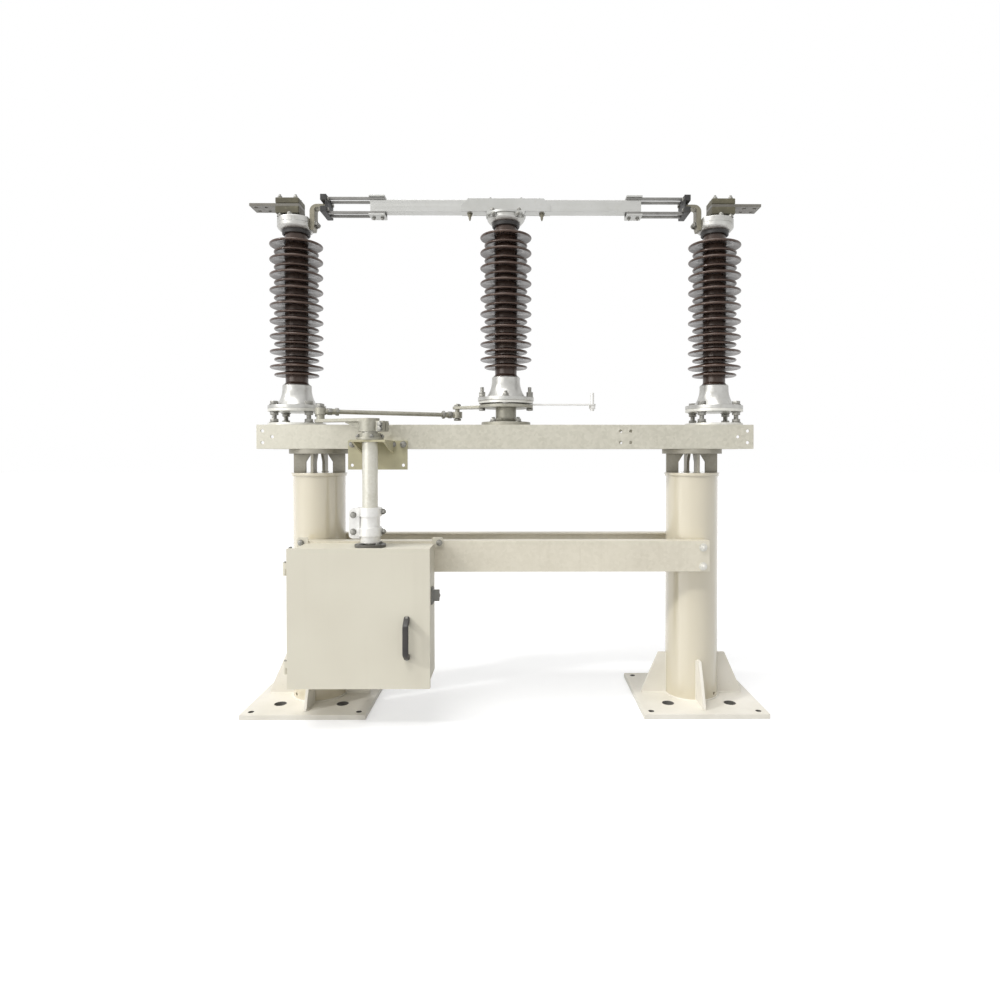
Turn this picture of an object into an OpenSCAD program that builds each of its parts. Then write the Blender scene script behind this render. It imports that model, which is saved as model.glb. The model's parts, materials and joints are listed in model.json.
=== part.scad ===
// Horizontal rotary disconnect switch: three insulator posts on a twin channel
// beam, with a double-break blade that turns on the middle post.
// Millimetres. X runs along the blade, Y to the rear, Z up.
// The origin is on the ground, midway between the two columns.

/* [Columns and feet] */
// Distance between the axes of the two columns
column_spacing = 1600; // [1560:5:1680]
// Outer diameter of the column pipe
column_d = 219; // [194:1:245]
// Wall of the column pipe
column_wall = 8; // [4:0.5:16]
// Height of the column pipe above its base plate
column_h = 938; // [850:1:1200]
// Side of the square base plate
base_w = 500; // [470:5:600]
// Thickness of the base plate
base_t = 20; // [12:1:40]
// Side of the square of four anchor holes
anchor_pitch = 256; // [250:1:300]
// Diameter of an anchor hole
anchor_hole_d = 48; // [20:1:56]
// Side of the square of four levelling screw holes
jack_pitch = 430; // [380:1:440]
// Diameter of a levelling screw hole
jack_hole_d = 22; // [12:1:30]
// Height of a foot gusset
gusset_h = 174; // [80:1:300]
// How far a foot gusset reaches out along the base plate
gusset_reach = 105; // [60:1:120]
// How far a foot gusset reaches out at its top
gusset_top_reach = 33; // [10:1:50]
// Thickness of a foot gusset
gusset_t = 12; // [6:1:25]
// How far the cap plate overhangs the column pipe
cap_overhang = 6; // [0:1:20]
// Thickness of the cap plate
cap_t = 12; // [6:1:25]
// Height of the ribs between the cap plate and the head flange
head_rib_h = 80; // [60:1:140]
// Radial width of a head rib
head_rib_w = 52; // [30:1:70]
// Thickness of a head rib
head_rib_t = 12; // [6:1:25]
// Diameter of the head flange under the beam
head_flange_d = 250; // [245:1:320]
// Thickness of the head flange
head_flange_t = 20; // [10:1:30]
// Diameter of the drain hole at the foot of a column
drain_hole_d = 14; // [6:1:25]

/* [Main beam] */
// Length of the twin channel beam
beam_l = 2050; // [2040:2:2300]
// Width of the beam over the two webs
beam_w = 240; // [232:2:260]
// Height of a beam channel
beam_h = 100; // [90:1:140]
// Width of a beam channel's flange
beam_flange_w = 50; // [35:1:60]
// Thickness of a beam channel's web
beam_web_t = 6; // [4:0.5:10]
// Thickness of a beam channel's flange
beam_flange_t = 8.5; // [5:0.5:12]
// Diameter of the holes in the beam webs
beam_hole_d = 13; // [8:0.5:16]
// Distance of the two end holes from the end of the beam
end_hole_inset = 25; // [15:1:35]
// Height between the two end holes
end_hole_pitch = 48; // [30:1:60]
// Distance of the single hole from the end of the beam
mid_hole_inset = 65; // [50:1:90]
// Place of the group of four holes along the beam
group_x = 496; // [420:1:600]
// Width of the group of four holes
group_w = 42; // [25:1:60]
// Height of the group of four holes
group_h = 47; // [25:1:60]

/* [Outer posts] */
// Distance between the axes of the two outer insulators
post_spacing = 1790; // [1770:2:1860]
// Diameter of the seat plate on the beam
seat_d = 240; // [236:1:260]
// Thickness of the seat plate
seat_t = 10; // [6:1:20]
// Free height of the levelling studs
level_gap = 48; // [40:1:70]
// Thickness of the levelling plate
level_plate_t = 12; // [8:1:20]
// Diameter of a levelling stud
stud_d = 20; // [12:1:24]
// Length of stud above the insulator flange
stud_tip = 16; // [16:1:30]

/* [Insulators] */
// Diameter of the flange at the foot of an insulator
fitting_d = 240; // [236:1:250]
// Thickness of that flange
fitting_flange_t = 15; // [10:1:20]
// Pitch circle of the four flange bolts
fitting_pcd = 204; // [196:1:210]
// Height of the metal cone above that flange
fitting_cone_h = 86; // [60:1:120]
// Height of the porcelain between its metal fittings
porcelain_h = 655; // [650:1:700]
// Diameter of the porcelain core
core_d = 104; // [90:1:120]
// Diameter of a large shed
shed_d = 220; // [180:1:230]
// Diameter of a small shed
small_shed_d = 184; // [150:1:210]
// Number of large sheds, each with a small one under it
shed_count = 9; // [3:1:9]
// Height of the lowest small rim above the metal cone
shed_start = 39; // [20:1:45]
// Height of bare porcelain above the highest large rim's underside
shed_end = 64; // [50:1:80]
// Thickness of a shed at its rim
shed_rim_t = 8; // [5:1:10]
// Height of the upper metal cap
cap_fitting_h = 29; // [22:1:50]
// Diameter of the upper metal cap
cap_fitting_d = 157; // [150:1:180]

/* [Rotor] */
// Height of the bearing pedestal on the beam
pedestal_h = 75; // [60:1:120]
// Diameter of the pedestal flange
pedestal_flange_d = 210; // [180:1:215]
// Diameter of the pedestal body
pedestal_d = 88; // [76:1:110]
// Diameter of the spindle that turns in the pedestal
spindle_d = 50; // [30:1:56]
// Diameter of the turntable disc and of the rotor flange
turntable_d = 232; // [228:1:250]
// Thickness of the turntable and its lever
turntable_t = 12; // [8:1:20]
// Gap between the turntable and the rotor flange
rotor_gap = 6; // [4:1:12]
// Thickness of the rotor flange
rotor_flange_t = 11; // [8:1:20]
// Diameter of the two long turntable bolts
long_bolt_d = 16; // [10:1:18]
// Length of the long turntable bolts
long_bolt_l = 101; // [90:1:140]
// How far the long bolts reach below the turntable
long_bolt_drop = 11; // [11:1:25]
// Reach of the arm for the coupling rod of a second pole
arm_reach = 371; // [300:1:400]
// Width of that arm
arm_w = 30; // [24:1:40]

/* [Linkage] */
// Place of the drive shaft to the left of the middle post
drive_x = 525; // [505:1:560]
// Place of the drive shaft in front of the middle post
drive_y = 272; // [266:1:300]
// Sideways part of the crank and lever, at rest
link_x = 215; // [190:1:225]
// Rearward part of the crank and lever, at rest
link_y = 80; // [60:1:90]
// Diameter of the linkage pins
link_pin_d = 20; // [12:1:24]
// Diameter of the tie rod
tie_rod_d = 18; // [12:1:24]
// Height of the tie rod's axis above the crank arm
tie_rod_lift = 32; // [28:1:38]
// Gap between the beam and the crank that passes over it
crank_lift = 6; // [5:1:12]
// Thickness of the crank arm
crank_t = 12; // [8:1:20]
// Outer diameter of the drive pipe
drive_pipe_d = 60; // [48:1:64]
// Wall of the drive pipe
drive_pipe_wall = 5; // [3:0.5:8]

/* [Blade] */
// Length of the square blade tube
blade_l = 1150; // [1100:2:1200]
// Height and width of the blade tube
blade_w = 50; // [40:1:56]
// Wall of the blade tube
blade_wall = 5; // [3:0.5:8]
// Length of the sleeve round the middle of the blade
sleeve_l = 380; // [320:2:500]
// Wall of the sleeve
sleeve_t = 5; // [3:0.5:8]
// Height of the bracket under the blade
bracket_h = 18; // [12:1:30]
// Width of a contact finger bar
finger_w = 14; // [8:1:18]
// Height of a contact finger bar
finger_t = 10; // [6:1:14]
// Distance between the centre lines of two finger bars
finger_pitch = 44; // [40:1:60]
// Length of the clamp that holds the finger bars
clamp_l = 68; // [40:1:90]
// Height of that clamp's plates
clamp_t = 8; // [5:1:14]
// Length along the blade of a contact jaw
jaw_l = 26; // [22:1:34]
// Width of a contact jaw across the blade
jaw_w = 114; // [90:1:120]
// Gap between the contact jaw and the fixed tongue
contact_gap = 5; // [5:0.5:9]

/* [Terminals] */
// Thickness of the contact tongue
tongue_t = 14; // [8:1:18]
// Width of the contact tongue and its arm
tongue_w = 50; // [36:1:60]
// Thickness of the upright arm of the contact tongue
arm_t = 22; // [14:1:26]
// Length of the terminal bar beyond the post's axis
pad_reach = 185; // [170:1:240]
// Width of the terminal bar
pad_w = 84; // [76:1:88]
// Thickness of the terminal bar
pad_t = 12; // [8:1:18]
// Distance between the terminal bar's holes, both ways
pad_pitch = 44; // [30:1:50]
// Diameter of the terminal bar's holes
pad_hole_d = 14; // [9:0.5:18]

/* [Cross beam] */
// Length of the cross beam
cross_l = 1664; // [1600:2:1800]
// Height of a cross beam channel
cross_h = 126; // [100:1:140]
// Width of a cross beam channel's flange
cross_flange_w = 55; // [45:1:65]
// Thickness of the cross beam's web
cross_web_t = 6; // [4:0.5:10]
// Thickness of the cross beam's flange
cross_flange_t = 8.5; // [5:0.5:12]
// Height of the cross beam's underside above the ground
cross_z = 570; // [520:1:575]

/* [Mechanism box] */
// Width of the box body
box_w = 520; // [470:2:560]
// Height of the box body
box_h = 511; // [480:1:560]
// Depth of the box body
box_d = 196; // [190:1:240]
// Sheet thickness of the box
box_wall = 3; // [2:0.5:5]
// Width of the rim round the box's front opening
box_rim = 20; // [10:1:35]
// Height of the box roof above the ground
box_roof_z = 687; // [680:1:690]
// How far the door overhangs the box on each side
door_overhang = 8; // [4:1:15]
// Depth of the door's folded edge
door_d = 18; // [14:1:30]
// Length of the door handle at its feet
handle_l = 168; // [140:1:220]
// Length of the door handle's grip
grip_l = 110; // [90:1:130]
// Diameter of a hinge pin
hinge_pin_d = 8; // [5:0.5:10]

/* [Hidden] */
$fn = 64;
eps = 0.5;
// Clearances: a turning fit, a fixed fit and faces that almost touch
running_fit = 0.06;
fixed_fit = 0.2;
face_gap = 0.3;

// Columns and the beam
x_column = column_spacing / 2;
z_column = base_t;
z_cap = z_column + column_h;
z_head = z_cap + cap_t;
z_head_flange = z_head + head_rib_h;
z_beam = z_head_flange + head_flange_t;
z_deck = z_beam + beam_h;
z_beam_mid = z_beam + beam_h / 2;
gusset_lip = 12;
head_rib_flare = 22;
head_rib_flare_h = 35;

// Outer posts
x_post = post_spacing / 2;
z_seat = z_deck + seat_t;
z_level = z_seat + level_gap;
z_post = z_level + level_plate_t;
post_h = fitting_flange_t + fitting_cone_h + porcelain_h + cap_fitting_h;
z_post_top = z_post + post_h;
stud_pitch = fitting_pcd / sqrt(2);
jam_nut_h = 12;

// Insulator details
fitting_neck_d = core_d + 16;
fitting_root_d = fitting_pcd - 34;
fitting_collar_h = 10;
shed_step = (porcelain_h - shed_start - shed_end) / (2 * shed_count - 1);
shed_rise = 0.86 * shed_step;

// Middle post and its rotor
z_bearing = z_deck + pedestal_h;
z_turntable = z_bearing + face_gap;
z_turntable_top = z_turntable + turntable_t;
z_rotor_flange = z_turntable_top + rotor_gap;
z_rotor_post = z_rotor_flange + rotor_flange_t;
z_blade = z_rotor_post + post_h + bracket_h;
z_contact = z_blade + blade_w / 2;
pedestal_flange_t = 15;
spindle_l = pedestal_h - 15;
spindle_end_gap = 5;
rotor_spacer_d = 150;
arm_bolt_l = 77;
arm_bolt_drop = 11;
arm_nut_h = 15;

// Linkage
link_r = norm([link_x, link_y]);
link_angle = atan2(link_y, -link_x);
rod_l = norm([drive_x, drive_y]);
rod_angle = atan2(drive_y, drive_x);
z_crank = z_deck + crank_lift;
z_crank_top = z_crank + crank_t;
z_rod = z_crank_top + tie_rod_lift;
crank_tip = [-drive_x - link_x, -drive_y + link_y];
rod_eye_d = link_pin_d + 22;
rod_eye_h = 28;
open_pivot_gap = 0.5;
pin_flange = 5;
pin_clearance = 2;

// Blade contacts
jaw_h = 74;
x_jaw = 752;
x_jaw_out = x_jaw + jaw_l;
jaw_back = 5;
tongue_lead = 3;
x_tongue = x_jaw + jaw_back + contact_gap + tongue_lead;
finger_grip = clamp_l - 5;

// Heads and terminals
head_ring_h = 23;
z_head_ring = z_post_top + head_ring_h;
clamp_top_h = 24;
z_pad = z_contact - 9;
block_in = 24;
block_out = 75;
block_w = 90;
block_h = 30;
arm_out = 85;
arm_drop = 25;

// Drive line
z_bracket = z_deck - 66;
bracket_w = 244;
bracket_t = 6;
bracket_drop = 119;
bracket_hole_inset = 17;
shelf_w = 134;
shelf_t = 8;
shelf_overhang = 48;
shelf_rib_h = 48;
shelf_rib_t = 8;
bearing_h = 26;
bearing_flange_t = 10;
hub_d = drive_pipe_d + 30;
hub_h = 40;
z_coupling = box_roof_z + 18;
coupling_h = 137;
coupling_split = 60;
output_d = 40;
output_depth = 90;

// Mechanism box
y_box_back = -(column_d / 2 + face_gap + cross_flange_w);
y_box_front = y_box_back - box_d;
x_box = -548;
box_left = x_box - box_w / 2;
box_right = x_box + box_w / 2;
z_box = box_roof_z - box_h;
door_t = 2.5;
door_gap = 1;
y_door_back = y_box_front - door_gap;
y_door = y_door_back - door_d;
door_left = box_left - door_overhang;
door_right = box_right + door_overhang;
hinge_r = hinge_pin_d / 2 + 4;
hinge_leaf_t = 5;
x_hinge = door_left - hinge_r - 1;
y_hinge = y_door_back - 5;
hinge_knuckle_h = 24;
hinge_z = [z_box + 70, box_roof_z - 70];
roof_ring_d = 120;
roof_ring_h = 12;
roof_hole_gap = 8;

// Copies at the corners of a rectangle
module at_corners(w, d) {
    for (x = [-w / 2, w / 2], y = [-d / 2, d / 2]) translate([x, y, 0]) children();
}

// Copies on both sides of the middle, the left one mirrored
module both_sides(x) {
    translate([x, 0, 0]) children();
    mirror([1, 0, 0]) translate([x, 0, 0]) children();
}

// The front piece and its mirror image at the rear
module front_and_rear() {
    children();
    mirror([0, 1, 0]) children();
}

// Box between two corners
module block(lo, hi) {
    translate(lo) cube(hi - lo);
}

// Rolled channel along X: web on the -Y side at y = 0, flanges towards +Y
module channel(l, h, b, web, flange) {
    toe = flange * 0.75;
    root = flange * 1.25;
    rotate([90, 0, 90]) translate([0, 0, -l / 2]) linear_extrude(l) polygon([
        [0, 0], [b, 0], [b, toe], [web, root],
        [web, h - root], [b, h - toe], [b, h], [0, h]
    ]);
}

// Hole through the beam's front web, along Y
module web_hole(x, z) {
    translate([x, -beam_w / 2 - eps, z_beam_mid + z]) rotate([-90, 0, 0])
        cylinder(d = beam_hole_d, h = beam_web_t + 2 * eps);
}

// Hexagon nut or bolt head for a thread
module hexagon(thread_d, h) {
    corners_d = 1.7 * thread_d;
    cylinder(d = corners_d, h = h, $fn = 6);
}

// Points of an arc about c, from angle a0 to a1
function arc(c, r, a0, a1, n = 12) =
    [for (i = [0:n]) let (a = a0 + (a1 - a0) * i / n) c + r * [cos(a), sin(a)]];

// Outline of a flat link with round ends of radius r1 at the origin and r2 at distance l
function link_outline(r1, r2, l) =
    let (a = acos((r1 - r2) / l)) concat(arc([l, 0], r2, -a, a), arc([0, 0], r1, a, 360 - a, 24));

// --- Columns ---

module base_plates() {
    color("gainsboro") both_sides(x_column) difference() {
        translate([-base_w / 2, -base_w / 2, 0]) cube([base_w, base_w, base_t]);
        at_corners(anchor_pitch, anchor_pitch)
            translate([0, 0, -eps]) cylinder(d = anchor_hole_d, h = base_t + 2 * eps);
        at_corners(jack_pitch, jack_pitch)
            translate([0, 0, -eps]) cylinder(d = jack_hole_d, h = base_t + 2 * eps);
    }
}

module base_gussets() {
    r = column_d / 2 + face_gap;
    color("gainsboro") both_sides(x_column) translate([0, 0, z_column])
        for (a = [0:90:270]) rotate([0, 0, a]) rotate([90, 0, 0])
            translate([0, 0, -gusset_t / 2]) linear_extrude(gusset_t) polygon([
                [r, 0], [r + gusset_reach, 0], [r + gusset_reach, gusset_lip],
                [r + gusset_top_reach, gusset_h], [r, gusset_h]
            ]);
}

module columns() {
    bore_d = column_d - 2 * column_wall;
    drain_z = 1.5 * drain_hole_d;
    color("ivory") both_sides(x_column) translate([0, 0, z_column]) difference() {
        cylinder(d = column_d, h = column_h, $fn = 128);
        translate([0, 0, -eps]) cylinder(d = bore_d, h = column_h + 2 * eps, $fn = 128);
        rotate([90, 0, 45]) translate([0, drain_z, 0]) cylinder(d = drain_hole_d, h = column_d);
    }
}

module column_caps() {
    color("ivory") both_sides(x_column) translate([0, 0, z_cap])
        cylinder(d = column_d + 2 * cap_overhang, h = cap_t);
}

// Four radial ribs on each column, wider at the top
module head_ribs() {
    r = column_d / 2;
    inner = r - head_rib_w;
    color("dimgray") both_sides(x_column) translate([0, 0, z_head])
        for (a = [0:90:270]) rotate([0, 0, a]) rotate([90, 0, 0])
            translate([0, 0, -head_rib_t / 2]) linear_extrude(head_rib_t) polygon([
                [inner, 0], [r, 0], [r, head_rib_h], [inner - head_rib_flare, head_rib_h],
                [inner, head_rib_h - head_rib_flare_h]
            ]);
}

module head_flanges() {
    color("silver") both_sides(x_column) translate([0, 0, z_head_flange])
        cylinder(d = head_flange_d, h = head_flange_t);
}

// --- Beams ---

module beam_channels() {
    color("darkgray") front_and_rear() difference() {
        translate([0, -beam_w / 2, z_beam])
            channel(beam_l, beam_h, beam_flange_w, beam_web_t, beam_flange_t);
        both_sides(beam_l / 2 - end_hole_inset) {
            web_hole(0, -end_hole_pitch / 2);
            web_hole(0, end_hole_pitch / 2);
        }
        both_sides(beam_l / 2 - mid_hole_inset) web_hole(0, 0);
        for (x = [-1, 1] * group_w / 2, z = [-1, 1] * group_h / 2) web_hole(group_x + x, z);
    }
}

module cross_channels() {
    color("darkgray") front_and_rear() translate([0, y_box_back, cross_z])
        channel(cross_l, cross_h, cross_flange_w, cross_web_t, cross_flange_t);
}

// --- Outer post seats ---

// Round plate on the outer posts, drilled for the four levelling studs
module drilled_plates(z, t) {
    both_sides(x_post) translate([0, 0, z]) difference() {
        cylinder(d = seat_d, h = t);
        at_corners(stud_pitch, stud_pitch)
            translate([0, 0, -eps]) cylinder(d = stud_d + 2 * fixed_fit, h = t + 2 * eps);
    }
}

module seat_plates() {
    color("silver") drilled_plates(z_deck, seat_t);
}

module levelling_plates() {
    color("silver") drilled_plates(z_level, level_plate_t);
}

module levelling_studs() {
    l = z_post + fitting_flange_t + stud_tip - z_deck;
    color("gray") both_sides(x_post) at_corners(stud_pitch, stud_pitch) {
        translate([0, 0, z_deck]) cylinder(d = stud_d, h = l);
        translate([0, 0, z_seat]) hexagon(stud_d, jam_nut_h);
        translate([0, 0, z_level - jam_nut_h]) hexagon(stud_d, jam_nut_h);
    }
}

// --- Insulators ---

// Metal fitting at the foot: drilled flange and a hollow-sided cone
module post_base(bolt_angle, bolt_d) {
    hollow = 2.2;
    root_r = fitting_root_d / 2;
    neck_r = fitting_neck_d / 2;
    top = fitting_flange_t + fitting_cone_h;
    cone_side = [for (i = [0:8]) let (u = i / 8) [
        neck_r + (root_r - neck_r) * pow(1 - u, hollow),
        fitting_flange_t + (fitting_cone_h - fitting_collar_h) * u
    ]];
    difference() {
        rotate_extrude($fn = 96) polygon(concat(
            [[0, 0], [fitting_d / 2, 0], [fitting_d / 2, fitting_flange_t]], cone_side,
            [[neck_r, top], [0, top]]
        ));
        for (a = [0:90:270]) rotate([0, 0, a + bolt_angle]) translate([fitting_pcd / 2, 0, -eps])
            cylinder(d = bolt_d + 2 * fixed_fit, h = fitting_flange_t + 2 * eps);
    }
}

// Outline of one shed, from its underside round the rim to its root above
function shed_outline(d, z) =
    let (
        core = core_d / 2,
        rim = shed_rim_t / 2,
        tip = d / 2 - rim,
        reach = d / 2 - core,
        share = reach / (shed_d / 2 - core),
        under = 0.12 * reach,
        bow = 0.25
    )
    concat(
        [[core, z + under], [tip - rim, z + 1]],
        [for (a = [-80:40:80]) [tip + rim * cos(a), z + rim + rim * sin(a)]],
        [for (u = [0.3, 0.6, 0.85, 1]) [tip - (tip - core) * u,
            z + shed_rim_t + shed_rise * share * ((1 - bow) * u + bow * u * u)]]
    );

module porcelain() {
    sheds = [for (i = [0:2 * shed_count - 1])
        each shed_outline(i % 2 == 0 ? small_shed_d : shed_d, shed_start + i * shed_step)];
    rotate_extrude($fn = 96) polygon(concat(
        [[0, 0], [core_d / 2, 0]], sheds, [[core_d / 2, porcelain_h], [0, porcelain_h]]
    ));
}

// Metal cap at the top: a bowl that opens to the full flange
module post_cap() {
    r = cap_fitting_d / 2;
    foot = 4;
    foot_in = 16;
    side_in = 10;
    belly_in = 2;
    rotate_extrude($fn = 96) polygon([
        [0, 0], [r - foot_in, 0], [r - side_in, foot], [r - belly_in, cap_fitting_h * 0.45],
        [r, cap_fitting_h * 0.6], [r, cap_fitting_h], [0, cap_fitting_h]
    ]);
}

module outer_post_bases() {
    color("silver") both_sides(x_post) translate([0, 0, z_post]) post_base(45, stud_d);
}

module centre_post_base() {
    color("silver") translate([0, 0, z_rotor_post]) post_base(0, long_bolt_d);
}

module outer_porcelains() {
    color("#3a2420") both_sides(x_post)
        translate([0, 0, z_post + fitting_flange_t + fitting_cone_h]) porcelain();
}

module centre_porcelain() {
    color("#3a2420") translate([0, 0, z_rotor_post + fitting_flange_t + fitting_cone_h]) porcelain();
}

// The outer caps have a flat for the foot of the contact arm
module outer_post_caps() {
    color("silver") both_sides(x_post) difference() {
        translate([0, 0, z_post_top - cap_fitting_h]) post_cap();
        block([-cap_fitting_d, -cap_fitting_d, z_post_top - arm_drop - face_gap],
              [arm_t - arm_out, cap_fitting_d, z_post_top + eps]);
    }
}

module centre_post_cap() {
    color("silver") translate([0, 0, z_rotor_post + post_h - cap_fitting_h]) post_cap();
}

// --- Fixed contacts and terminals ---

// Casting on an outer post: ring with a flat for the tongue's arm, and a raised block
module terminal_heads() {
    neck_h = z_pad - block_h - z_head_ring + 10;
    color("darkkhaki") both_sides(x_post) difference() {
        union() {
            translate([0, 0, z_post_top]) cylinder(d = cap_fitting_d, h = head_ring_h);
            translate([block_in / 2, 0, z_head_ring])
                cylinder(d1 = block_w * 0.8, d2 = block_w * 0.65, h = neck_h);
            block([-block_in, -block_w / 2, z_pad - block_h], [block_out, block_w / 2, z_pad]);
        }
        block([-cap_fitting_d, -cap_fitting_d, z_post_top - eps],
              [arm_t - arm_out, cap_fitting_d, z_head_ring + eps]);
    }
}

module terminal_clamps() {
    color("darkkhaki") both_sides(x_post)
        block([-block_in, -block_w / 2, z_pad + pad_t],
              [block_out, block_w / 2, z_pad + pad_t + clamp_top_h]);
}

module terminal_bars() {
    color("silver") both_sides(x_post) difference() {
        block([-block_in, -pad_w / 2, z_pad], [pad_reach, pad_w / 2, z_pad + pad_t]);
        translate([pad_reach - pad_pitch, 0, z_pad - eps]) at_corners(pad_pitch, pad_pitch)
            cylinder(d = pad_hole_d, h = pad_t + 2 * eps);
    }
}

// Bent bar: an upright arm on the head's flat, then a level tongue towards the blade
module contact_tongues() {
    arm_in = x_post - arm_out;
    tip_r = tongue_t / 2;
    inner_bend = 8;
    outer_bend = inner_bend + arm_t;
    color("silver") both_sides(0) rotate([90, 0, 0])
        translate([0, 0, -tongue_w / 2]) linear_extrude(tongue_w) polygon(concat(
            [[arm_in + 6, z_post_top - arm_drop], [arm_in + arm_t, z_post_top - arm_drop]],
            arc([arm_in + arm_t - outer_bend, z_contact + tip_r - outer_bend], outer_bend, 0, 90, 6),
            arc([x_tongue + tip_r, z_contact], tip_r, 90, 270, 6),
            arc([arm_in - inner_bend, z_contact - tip_r - inner_bend], inner_bend, 90, 0, 3),
            [[arm_in, z_post_top]]
        ));
}

// --- Rotor ---

// Cast bearing with a flange, a flared foot and a bore for the spindle
module bearing_pedestal() {
    r = pedestal_d / 2;
    flange_r = pedestal_flange_d / 2;
    edge = 2;
    depth = spindle_l + spindle_end_gap;
    color("silver") translate([0, 0, z_deck]) difference() {
        rotate_extrude($fn = 96) polygon([
            [0, 0], [flange_r, 0], [flange_r, pedestal_flange_t - edge],
            [flange_r - edge, pedestal_flange_t], [r + 20, pedestal_flange_t],
            [r + 8, pedestal_flange_t + 5], [r + 2, pedestal_flange_t + 13],
            [r, pedestal_flange_t + 23], [r, pedestal_h], [0, pedestal_h]
        ]);
        translate([0, 0, pedestal_h - depth])
            cylinder(d = spindle_d + 2 * running_fit, h = depth + eps, $fn = 96);
    }
}

// Two holes for the long bolts, each side of the middle
module long_bolt_holes(z, h) {
    for (s = [-1, 1]) translate([s * fitting_pcd / 2, 0, z - eps])
        cylinder(d = long_bolt_d + 2 * fixed_fit, h = h + 2 * eps);
}

module turntable() {
    pin_r = link_pin_d / 2;
    collar_h = 9;
    z_eye = z_rod - rod_eye_h / 2 - pin_clearance;
    pin_top = z_turntable_top + turntable_t;
    color("darkgray") {
        difference() {
            translate([0, 0, z_turntable]) linear_extrude(turntable_t) union() {
                circle(d = turntable_d, $fn = 96);
                rotate(link_angle) polygon(link_outline(turntable_d / 4, rod_eye_d / 2, link_r));
            }
            long_bolt_holes(z_turntable, turntable_t);
        }
        translate([0, 0, z_turntable - spindle_l]) cylinder(d = spindle_d, h = spindle_l + 2, $fn = 96);
        // Pin under the lever's tip, with a collar that keeps the tie rod's eye on it
        translate([-link_x, link_y, 0]) rotate_extrude() polygon([
            [0, z_eye - collar_h], [pin_r + pin_flange, z_eye - collar_h],
            [pin_r + pin_flange, z_eye], [pin_r, z_eye], [pin_r, pin_top], [0, pin_top]
        ]);
    }
}

module rotor_flange() {
    color("silver") difference() {
        union() {
            translate([0, 0, z_turntable_top]) cylinder(d = rotor_spacer_d, h = rotor_gap);
            translate([0, 0, z_rotor_flange]) cylinder(d = turntable_d, h = rotor_flange_t, $fn = 96);
        }
        long_bolt_holes(z_turntable_top, rotor_gap + rotor_flange_t);
    }
}

module turntable_bolts() {
    nut_h = 0.8 * long_bolt_d;
    color("dimgray") for (s = [-1, 1]) translate([s * fitting_pcd / 2, 0, 0]) {
        translate([0, 0, z_turntable - long_bolt_drop]) {
            cylinder(d = long_bolt_d, h = long_bolt_l);
            hexagon(long_bolt_d, long_bolt_drop - face_gap);
        }
        translate([0, 0, z_rotor_post + fitting_flange_t]) hexagon(long_bolt_d, nut_h);
    }
}

// Thin arm clamped under the rotor flange, with an upright bolt at its end
module coupling_arm() {
    x0 = rotor_spacer_d / 2 + face_gap;
    color("whitesmoke") difference() {
        union() {
            block([x0, -arm_w / 2, z_turntable_top], [arm_reach, arm_w / 2, z_rotor_flange]);
            translate([arm_reach, 0, z_turntable_top]) cylinder(d = arm_w, h = rotor_gap);
            translate([arm_reach, 0, z_turntable - arm_bolt_drop])
                cylinder(d = long_bolt_d, h = arm_bolt_l);
            translate([arm_reach, 0, z_turntable_top - arm_nut_h]) hexagon(long_bolt_d, arm_nut_h);
        }
        long_bolt_holes(z_turntable_top, rotor_gap);
    }
}

// --- Blade ---

module blade_bracket() {
    saddle = [160, 90, bracket_h];
    rim = 6;
    color("silver") translate([0, 0, z_rotor_post + post_h]) {
        cylinder(d = cap_fitting_d + 2 * rim, h = bracket_h / 2);
        translate([-saddle[0] / 2, -saddle[1] / 2, 0]) cube(saddle);
    }
}

module blade_tube() {
    inner = blade_w - 2 * blade_wall;
    color("lightgray") translate([0, 0, z_contact]) difference() {
        cube([blade_l, blade_w, blade_w], center = true);
        cube([blade_l + 2 * eps, inner, inner], center = true);
    }
}

// Sleeve over the top and sides of the tube, with slanted ends
module blade_sleeve() {
    l = sleeve_l / 2;
    slant = 30;
    top = z_blade + blade_w;
    color("silver") difference() {
        rotate([90, 0, 0]) linear_extrude(blade_w + 2 * sleeve_t, center = true) polygon([
            [-l, z_blade], [l, z_blade], [l, z_contact], [l - slant, top + sleeve_t],
            [slant - l, top + sleeve_t], [-l, z_contact]
        ]);
        block([-l - eps, -blade_w / 2, z_blade - eps], [l + eps, blade_w / 2, top]);
    }
}

// Bars over and under the blade's ends that carry the jaws
module contact_fingers() {
    x0 = blade_l / 2 - finger_grip;
    color("dimgray") both_sides(0)
        for (y = [-1, 1] * finger_pitch / 2, z = [z_blade - finger_t, z_blade + blade_w])
            block([x0, y - finger_w / 2, z], [x_jaw, y + finger_w / 2, z + finger_t]);
}

module finger_clamps() {
    x0 = blade_l / 2 - finger_grip;
    margin = 4;
    w = finger_pitch + finger_w + 2 * margin;
    color("silver") both_sides(0)
        for (z = [z_blade - finger_t - clamp_t, z_blade + blade_w + finger_t])
            block([x0, -w / 2, z], [x0 + clamp_l, w / 2, z + clamp_t]);
}

// Slotted jaw at each end of the blade, open towards the post
module contact_jaws() {
    slot = tongue_t / 2 + contact_gap;
    color("#222222") both_sides(0) difference() {
        block([x_jaw, -jaw_w / 2, z_contact - jaw_h / 2], [x_jaw_out, jaw_w / 2, z_contact + jaw_h / 2]);
        block([x_jaw + jaw_back, -jaw_w / 2 - eps, z_contact - slot],
              [x_jaw_out + eps, jaw_w / 2 + eps, z_contact + slot]);
    }
}

// --- Drive line ---

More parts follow.
